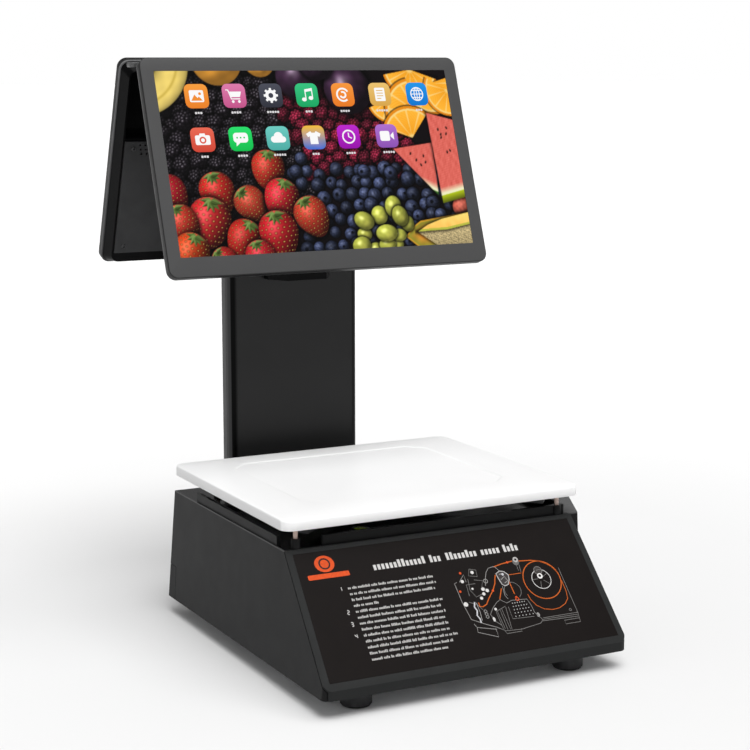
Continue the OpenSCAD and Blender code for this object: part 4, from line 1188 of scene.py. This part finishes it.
def blocks_for_words(art, x0, x1, base, height, width, colour):
    """Small blocks in uneven groups, in place of a line of words."""
    x = x0
    while x < x1 - width:
        for _ in range(PICK.randint(2, 8)):
            if x + width > x1:
                break
            art.block(x, base, x + width, base + height * PICK.choice((0.7, 0.7, 1.0)), colour)
            x += width * 1.35
        x += width


def add_label_art():
    """A plain mark, bars in place of words, numbered lines and a line drawing of a label's path."""
    art = Art()
    art.disc(-124.5, 126.5, 10.2, ORANGE, 1, 0.85, count=40)
    art.ring(-124.5, 126.5, 5.2, 1.6, DARK, 2)
    art.block(-145.3, 111.4, -102.2, 116.5, ORANGE, 1, 1.2)
    for x0, x1 in ((-76, -20.4), (-14.8, -2.2), (3.5, 38.9), (42.8, 66.5), (68.3, 87.8)):
        x = x0
        while x < x1 - 2.4:
            art.block(x, 112.8, x + 2.9, 120.6 - PICK.choice((0, 2.2, 2.2)), PALE)
            x += 4.4
    ends = (-17.1, -15.9, -19.5, -82.2, -15.5, -20, -16.8, -19.3, -19.1, -19, -13.2, -20.8, -26.2)
    starts = {0: 1, 4: 2, 6: 3, 8: 4}
    for k, end in enumerate(ends):
        base = 98.2 - 6.16 * k
        blocks_for_words(art, -109, end, base - 1.1, 2.7, 1.2, SMALL)
        if k in starts:
            art.digit(-117.6, base - 1.6, starts[k], 4, 0.75, PALE)
    draw_label_path(art)
    art.build("label_art", on_label, "printed_ink", "base", "label_film")


def draw_label_path(art):
    """A line drawing: the roll on its hub, its web over the guide and the head, the motor box and the base."""
    art.ring(98, 77.7, 20.6, 1.0, LINE_ORANGE, 2, count=56)
    art.strokes(1.0, LINE_ORANGE, 2,
                [(80, 101), (93, 100), (102, 98), (109, 94.5), (114, 90), (117.5, 84)],
                [(73, 102), (67, 101.4), (59, 100.4), (50, 98.6)],
                [(49, 90), (47, 86), (45, 81), (40, 74), (33, 67), (28, 61), (23, 59), (20, 60), (20, 64)],
                [(50, 75), (44, 64)], [(61, 83), (62, 67)])
    art.strokes(0.7, LINE_ORANGE, 2,
                [(119, 74), (119.4, 62), (118, 54), (113, 49), (105, 45.6), (97, 45), (88, 47), (81, 52),
                 (77, 59), (76, 65)], [(78, 88), (64, 88)])
    for x, y in ((12, 97), (5, 78), (67, 101.3), (40, 74), (62.5, 63.5)):
        art.disc(x, y, 1.3, ORANGE, 4, count=12)
    art.ring(62.8, 61.4, 1.7, 0.8, ORANGE, 4, count=16)

    # The roll's core, its hub, and the guide that the web runs over
    art.ring(97.5, 78.5, 10.4, 0.7, PALE, 3)
    for turn in range(-40, 320, 72):
        (ax, ay), (bx, by) = polar(3, turn), polar(10, turn)
        art.stroke([(97 + ax, 79 + ay), (97.5 + bx, 78.5 + by)], 0.5, GREY, 3)
    art.disc(97, 88, 4.4, (66, 62, 60), 3)
    art.ring(97, 88, 4.4, 0.6, GREY, 4, count=24)
    for x, y, radius, colour, layer in ((97, 82, 3.0, (232, 230, 228), 5), (97, 82.2, 1.5, (14, 12, 14), 6),
                                        (76.5, 100.4, 3.6, (104, 102, 100), 3), (77, 103, 2.9, BRIGHT, 4),
                                        (77, 103, 1.2, (20, 18, 20), 5)):
        art.disc(x, y, radius, colour, layer)

    # The print head and its guides
    head = [(50, 91), (51, 85), (52.5, 79), (55, 77), (59, 78), (62, 83), (63, 88), (59.5, 92), (55, 93.4)]
    art.shape([(x, y) for x, y in reversed(head)], (58, 54, 54), 2)
    art.stroke(head, 1.0, (178, 176, 174), 4, True)
    art.strokes(0.8, SOFT, 4, [(53, 84), (58, 87), (60, 82), (56, 80)], [(53, 90), (57, 90)])
    art.disc(57, 89.4, 1.4, SHINY, 5, count=14)
    art.strokes(0.6, (142, 140, 138), 3, [(55, 93), (52, 98), (50, 99), (44, 98), (40, 94), (37, 88), (34, 80)],
                [(52, 77), (51, 67), (53, 63)])
    art.ring(61.5, 71, 9, 0.45, GREY, 2, -60, 210, 36)
    art.strokes(0.45, GREY, 2, [(76, 98), (76, 91)], [(79, 97), (78, 89)])

    # The base and its foot
    art.strokes(0.5, GREY, 2, [(121, 88), (123, 38), (122, 28), (105, 28), (105, 32), (122.5, 32)],
                [(83, 38), (123, 38)], [(82, 36.5), (122, 36)], [(80, 35), (122, 34)],
                [(78, 33), (55, 30), (38, 31), (33, 34)], [(37, 31), (38, 28), (55, 28), (55, 31)])
    art.ring(116, 42, 1.2, 0.5, GREY, 2, count=14)

    # The motor box with its grille
    art.strokes(0.6, (128, 126, 124), 2,
                [(28, 50), (33, 56), (39, 61), (44, 63.6), (50, 59), (56, 61), (73, 60), (75, 54), (76, 45),
                 (82, 36), (78, 33)], [(28, 50), (31, 42), (36, 37)])
    art.strokes(0.45, GREY, 2, [(35, 52), (36, 33)], [(36.5, 52.5), (38, 33)], [(40, 53), (40.5, 32)],
                [(42, 53.6), (43.5, 32)], [(47, 55), (45, 32)], [(50, 55), (50, 42), (74, 41)],
                [(35, 52), (47, 56)])
    for i in range(6):
        for j in range(5):
            art.disc(56 - j * 0.4 + i * (2.7 + 0.3 * j), 58 - 3.5 * j, 0.6, BRIGHT, 2, count=8)
    art.disc(79, 42, 1.7, SOFT, 2, 1.5, count=10)
    art.disc(35.5, 54.6, 1.5, PALE, 3, count=12)
    art.disc(30, 44.4, 1.4, PALE, 3, 1.8, count=12)

    # The tear-off end: its side, a spring and a row of rollers
    art.strokes(0.6, (146, 144, 142), 2, [(5, 88), (2, 87), (3, 67), (6, 48), (19, 41), (30, 36), (33, 34)],
                [(9, 39), (8, 34), (28, 26), (28, 35)], [(7, 43), (9, 39), (29, 34)],
                [(8, 88), (15, 95), (15, 87)])
    art.strokes(0.5, GREY, 2, [(23, 100), (30, 98), (29, 91), (20, 93), (23, 100)],
                [(18, 90), (16, 78), (20, 70), (27, 72)], [(24, 88), (33, 86), (30, 80), (36, 74)],
                [(10, 66), (18, 62), (22, 56)], [(24, 84), (14, 84), (13, 72)])
    art.stroke([(16, 65), (14, 60), (15.5, 56), (13.6, 51), (15.4, 47), (15, 43)], 1.5, SHINY, 3)
    art.stroke([(17.6, 64), (18, 54), (17, 45)], 0.6, (160, 158, 156), 3)
    for y in (54, 51, 48):
        art.ring(24, y, 1.5, 0.6, SOFT, 3, count=14)
    for x, y, radius in ((30, 77, 1.9), (34, 75, 1.9), (29, 72, 1.8), (25, 68, 1.7), (19, 79, 1.2),
                         (11, 88, 1.8), (25, 96, 1.8), (6, 64, 2.4)):
        art.disc(x, y, radius, (214, 212, 210), 4, count=14)
    art.ring(36, 85, 2.1, 0.7, SOFT, 4, count=18)


# ---------------------------------------------------------------- small pieces

def add_pan():
    """The folded sheet pan, with a soft-edged recess and four bosses under it."""
    width, depth, top, fold, corner = 329.6, 282.1, 167.8, 2.6, 12
    middle = 86.4 + depth / 2
    recess_w, recess_d, recess_cut, recess_middle = 230, 198, 18, 237

    def edge(inset, z):
        loop = rounded_loop(width - 2 * inset, depth - 2 * inset, corner - inset)
        return [place(x, middle + y, z) for x, y in loop]

    def recess(inset, z):
        loop = cut_loop(recess_w - 2 * inset, recess_d - 2 * inset, recess_cut - inset * 0.59)
        return [place(x, recess_middle + y, z) for x, y in loop]

    rings = [edge(inset, z) for inset, z in ((5.4, 164.8), (3.6, 164.2), (3, 162.8), (3, 157.3), (fold, 157),
                                             (0.4, 157), (0, 157.4))]
    for step in range(7):
        x, z = polar(fold, 15 * step)
        rings.append(edge(fold - x, top - fold + z))
    for inset, drop in ((-1.4, 0), (-0.7, 0.08), (0, 0.35), (0.8, 0.75), (1.6, 0.95), (2.6, 1.0)):
        rings.append(recess(inset, top - drop))
    boss = [(5.4, 164.8), (5.4, 160.4), (6, 159.8), (8.4, 159.8), (9, 160.4), (9, 164.8)]
    bosses = [tube(x, middle + y, boss) for x in (-130, 130) for y in (-108, 108)]
    add_piece("pan_shell", joined([lofted(rings), *bosses]), "pan_white", "pan", sharp=50,
              replaces=["weighing_pan"])


def add_bubble_level():
    """A black ring round a tinted vial, with a thin circle and the bubble on top."""
    x, y = -69.5, 117

    def band(name, section, **settings):
        shape = tube(x, y, [(radius, DECK_Z + height) for radius, height in section])
        add_piece(name, shape, "socket_black", "base", **settings)

    band("level_ring", [(10, 0), (10, 5.9), (6.9, 6.1), (6.9, 7.1), (7.3, 7.5), (8.5, 7.5), (9, 7), (9, 5.5),
                        (10.2, 5.5), (11, 4.7), (11, 0)], sharp=35, replaces=["bubble_level"])
    turned("level_vial", [(6.85, 0), (6.85, 6.6), (6, 7), (4, 7.25), (2, 7.35), (0, 7.38)], (x, y, DECK_Z),
           (0, 0, 1), "level_vial")
    band("level_circle", [(2.8, 7.3), (2.8, 7.45), (3.1, 7.43), (3.1, 7.3)])
    turned("level_bubble", [(2.0, 7.3), (1.7, 7.42), (1, 7.48), (0, 7.5)], (x + 0.5, y - 0.4, DECK_Z),
           (0, 0, 1), "level_vial", "level_bubble")


def add_web():
    """The backing paper with its labels, from the roll over the bar and the platen, and back to the spool."""
    out = arc(ROLL_X, ROLL_Z, 50.2, 62, 52, 4) + arc(140, 101, 4.15, 100, 84, 5) + arc(182, 92, 8.15, 96, 74, 5)
    out += [(190.6, 98.85), (191.8, 98.8)]
    back = [(191.8, 98.6), (190.2, 97), (189.6, 90), (180, 70), (171, 54.5)]
    back += arc(SPOOL_X, SPOOL_Z, 13.1, 28, -10, 5)
    # The backing is 60 mm wide, and 59.2 mm on its way back; the labels on it are 56 mm
    add_piece("label_web", joined([strip(out, 0.12, 168, 228), strip(back, 0.1, 168.4, 227.6)]), "paper",
              "printer_drawer", "backing_paper", sharp=60)
    line = [p for a, b in zip(out, out[1:]) for p in between(a, b, 8)[:-1]]
    labels = [[(x, z + 0.14) for x, z in line[first:last]] for first, last in ((33, 39), (40, 79), (80, 112))]
    labels.append([(191.9, 99.0), (194, 98.6), (198, 97.6)])
    add_piece("web_labels", joined([strip(path, 0.08, 170, 226) for path in labels]), "paper",
              "printer_drawer", sharp=60)
    rings = [[place(SPOOL_X + x, y, SPOOL_Z + z) for x, z in ring_points(radius, 40)]
             for radius, y in ((9.05, 168.2), (13, 168.2), (13, 227.8), (9.05, 227.8))]
    add_piece("wound_backing", lofted(rings, loop=True), "paper", "backing_spool", "backing_paper", sharp=35)


def add_connections():
    """What can be seen inside the mains inlet and the data sockets."""
    blades = [cuboid((-121 + x, 361.2, 81.9), (-119 + x, 373.3, 86.1), 0.3) for x in (-7, 0, 7)]
    black, gold = [], []
    floor = 368.1
    for x0, x1, z0, z1, contacts in ((98, 110, 76, 88, 8), (132, 141.5, 77, 87, 6)):
        black += [cuboid((x0 + 0.1, floor, z1 - 2.4), (x1 - 0.1, 378.6, z1 - 0.1)),
                  cuboid((x0 + 0.1, floor, z0 + 0.1), (x0 + 2.4, 378.6, z0 + 2.2)),
                  cuboid((x1 - 2.4, floor, z0 + 0.1), (x1 - 0.1, 378.6, z0 + 2.2))]
        for k in range(contacts):
            x = x0 + 2 + (x1 - x0 - 4) * k / (contacts - 1)
            gold.append(cuboid((x - 0.22, 368.4, z1 - 3.6), (x + 0.22, 376.5, z1 - 2.4), 0.1))
    for z in (72.5, 85):
        black.append(cuboid((115.2, floor, z + 2.9), (126.8, 377.6, z + 4.9)))
        gold += [cuboid((117 + 2.6 * k, 369, z + 2.7), (118 + 2.6 * k, 377, z + 2.9), 0.05) for k in range(4)]
    lamps = [cuboid((x, 378.6, 85.9), (x + 2.2, 379.3, 87.6)) for x in (98.6, 107.2)]
    for name, parts, slot in (("inlet_blades", blades, "steel"), ("socket_inserts", black, "socket_black"),
                              ("socket_contacts", gold, "brass"), ("socket_lamps", lamps, "level_vial")):
        add_piece(name, joined(parts), slot, "base")


def add_socket_plate():
    """A thin plate with a hole round each socket."""
    holes = ((96.4, 111.6, 74.4, 89.6), (112.9, 129.1, 70.9, 79.6), (112.9, 129.1, 83.4, 92.1),
             (130.4, 143.1, 75.4, 88.6))
    xs = sorted({95.8, 144.2, *(v for hole in holes for v in hole[:2])})
    zs = sorted({69.8, 96.2, *(v for hole in holes for v in hole[2:])})
    faces = []
    for j in range(len(zs) - 1):
        for i in range(len(xs) - 1):
            x, z = (xs[i] + xs[i + 1]) / 2, (zs[j] + zs[j + 1]) / 2
            if not any(a < x < b and c < z < d for a, b, c, d in holes):
                start = j * len(xs) + i
                faces.append((start + len(xs), start + len(xs) + 1, start + 1, start))
    points = [place(x, 377.4, z) for z in zs for x in xs]
    piece = add_piece("socket_plate", (points, faces), "chassis", "base", smooth=False)
    thick = piece.modifiers.new("thick", "SOLIDIFY")
    thick.thickness = 0.8 * MM
    thick.offset = -1


def screw_head(where, x, up, radius=2.6):
    """A button-head screw with a hexagonal socket, standing 1.1 mm out of a surface."""
    def ring(share, out, hexagonal=False):
        made = []
        for turn in range(0, 360, 15):
            grow = math.cos(math.radians(30)) / math.cos(math.radians((turn + 30) % 60 - 30))
            px, py = polar(radius * share * (grow if hexagonal else 1), turn)
            made.append(where(x + px, up + py, out))
        return made

    sections = ((1, 0), (1, 0.35), (0.86, 0.85), (0.6, 1.1), (0.5, 1.1, True), (0.5, 0.2, True),
                (0.02 / radius, 0.2))
    return lofted([ring(*section) for section in sections], close_start=False)


def add_screws():
    """Screws in the service covers and the column's back."""
    for side in ("front", "rear"):
        heads = [screw_head(lambda a, b, out: on_display(side, -a, b, COVER_BACK + out), x, up)
                 for x in (-168, 168) for up in (-94, -209)]
        add_piece(side + "_cover_screws", joined(heads), "black_enamel", side + "_display", sharp=35)
    heads = [screw_head(lambda a, b, out: place(-a, COLUMN_BACK_Y + out, b), x, z)
             for x in (-64, 64) for z in (44, 270, 500)]
    add_piece("column_screws", joined(heads), "black_enamel", "base", sharp=35)


def add_lens():
    """The camera's glass, in a ring, looking down at the pan."""
    x, y = 0, 395
    ring = [(7.9, 354.9), (7.9, 354.2), (7.2, 354.0), (5.4, 354.7), (5.2, 355.2), (7.5, 355.4)]
    add_piece("lens_ring", tube(x, y, ring), "socket_black", "base", sharp=35)
    turned("lens_glass", [(5.2, 0.1), (4.6, 0.35), (3.4, 0.55), (1.8, 0.68), (0, 0.72)], (x, y, 354.8),
           (0, 0, -1), "lens_black", "lens_glass")


# ---------------------------------------------------------------- dressing the CAD pieces

BEVELS = {
    "base_housing": 1.2, "front_fascia": 0.8, "rear_skirt": 0.6, "column_rear_shell": 1.0,
    "column_front_cover": 1.2, "camera_housing": 1.0, "spine_cover": 1.0,
    "front_frame": 0.8, "rear_frame": 0.8, "front_back_shell": 1.0, "rear_back_shell": 1.0,
    "front_service_cover": 0.8, "rear_service_cover": 0.8, "front_glass": 0.5, "rear_glass": 0.5,
    "pedestal_cover": 1.0, "drawer_front": 0.6, "instruction_label": 0.0, "front_lcd": 0.0, "rear_lcd": 0.0,
}


def soften(piece, bevel):
    """Rounds a piece's sharp edges by bevel millimetres and shades it smoothly."""
    mesh = piece.data
    if "custom_normal" in mesh.attributes:
        mesh.attributes.remove(mesh.attributes["custom_normal"])
    mesh.polygons.foreach_set("use_smooth", [True] * len(mesh.polygons))
    weld = piece.modifiers.new("weld", "WELD")
    weld.merge_threshold = 1e-6
    flat = piece.modifiers.new("flat", "DECIMATE")
    flat.decimate_type = "DISSOLVE"
    flat.angle_limit = math.radians(0.6)
    if bevel:
        edge = piece.modifiers.new("edge", "BEVEL")
        edge.width = bevel * MM
        edge.segments = 2
        edge.limit_method = "ANGLE"
        edge.angle_limit = math.radians(30)
    normals = piece.modifiers.new("normals", "WEIGHTED_NORMAL")
    normals.keep_sharp = True


def dress(name, piece):
    """Gives a CAD piece the material of its slot, whose name the piece's own material carries."""
    slots = [m.name.split(".")[0] for m in piece.data.materials if m]
    if slots and slots[0] in MATERIALS:
        piece.data.materials.clear()
        piece.data.materials.append(MATERIALS[slots[0]])
    soften(piece, BEVELS.get(name, 0.3))


# ---------------------------------------------------------------- making it all

for name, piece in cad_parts.items():
    dress(name, piece)
add_border("front")
add_border("rear")
add_picture("front", paint_fruit(0.85))
add_icons()
add_picture("rear", paint_fruit(1.2), 0.56)
add_customer_view()
add_label_art()
add_pan()
add_bubble_level()
add_web()
add_connections()
add_socket_plate()
add_screws()
add_lens()


# ---------------------------------------------------------------- studio

def add_object(name, data, at=(0, 0, 0)):
    """An object of the stage, at a point of the frame."""
    holder = bpy.data.objects.new(name, data)
    bpy.context.scene.collection.objects.link(holder)
    holder.location = at
    return holder


def add_floor(size=40.0):
    """A plain pale floor that runs to the horizon."""
    mesh = bpy.data.meshes.new("floor")
    corners = [(x * size, y * size, 0) for x, y in ((-1, -1), (1, -1), (1, 1), (-1, 1))]
    mesh.from_pydata(corners, [], [(0, 1, 2, 3)])
    s = Shader("floor", (0.8, 0.8, 0.8), 0.6, Specular_IOR_Level=0.1)
    near = s.mix(s.noise(2.5), (0.775, 0.775, 0.775, 1), (0.80, 0.80, 0.80, 1))
    s.paint(s.mix(s.remap(s.vector("LENGTH", s.where), 0.6, 2.2), near, (1, 1, 1, 1)))
    mesh.materials.append(s.material)
    add_object("floor", mesh, (0, 0, cad_box[0][2] - 0.0002))


def add_light(name, at, aim, size, power):
    """A soft square lamp at a point, aimed at another, both in the scale's millimetres."""
    lamp = bpy.data.lights.new(name, "AREA")
    lamp.shape = "SQUARE"
    lamp.size = size
    lamp.energy = power
    start, end = place(*at), place(*aim)
    holder = add_object(name, lamp, start)
    holder.rotation_euler = (end - start).to_track_quat("-Z", "Y").to_euler()


def add_sun(name, towards, strength, spread):
    """Even light over the whole floor from one side, its shadows softened by spread degrees."""
    lamp = bpy.data.lights.new(name, "SUN")
    lamp.energy = strength
    lamp.angle = math.radians(spread)
    add_object(name, lamp).rotation_euler = (-Vector(towards)).to_track_quat("-Z", "Y").to_euler()


def add_world(level):
    """A white surround, dimmer as a source of light than it looks."""
    world = bpy.data.worlds.new("studio")
    world.use_nodes = True
    tree = world.node_tree
    sky = tree.nodes["Background"]
    sky.inputs["Color"].default_value = (1, 1, 1, 1)
    seen = tree.nodes.new("ShaderNodeMapRange")
    seen.inputs["To Min"].default_value = level
    tree.links.new(tree.nodes.new("ShaderNodeLightPath").outputs["Is Camera Ray"], seen.inputs["Value"])
    tree.links.new(seen.outputs["Result"], sky.inputs["Strength"])
    bpy.context.scene.world = world


def add_camera():
    """The viewpoint: left of the front, a little above the screens' middle."""
    lens = bpy.data.cameras.new("camera")
    lens.sensor_width = 36
    lens.lens = 89.046
    holder = add_object("camera", lens, place(-862.9, -1440.8, 591.8))
    holder.rotation_euler = (math.radians(90 - 9.669), 0, math.radians(-27.456))
    bpy.context.scene.camera = holder


add_floor()
add_world(0.30)
add_sun("key", (-0.35, -1.2, 2.2), 1.45, 34)
add_sun("top", (0.3, -0.7, 2.5), 1.75, 60)
add_light("rim", (-1300, 1400, 1500), (0, 250, 350), 1.2, 2.5)
add_camera()
bpy.context.scene.view_settings.view_transform = "Standard"
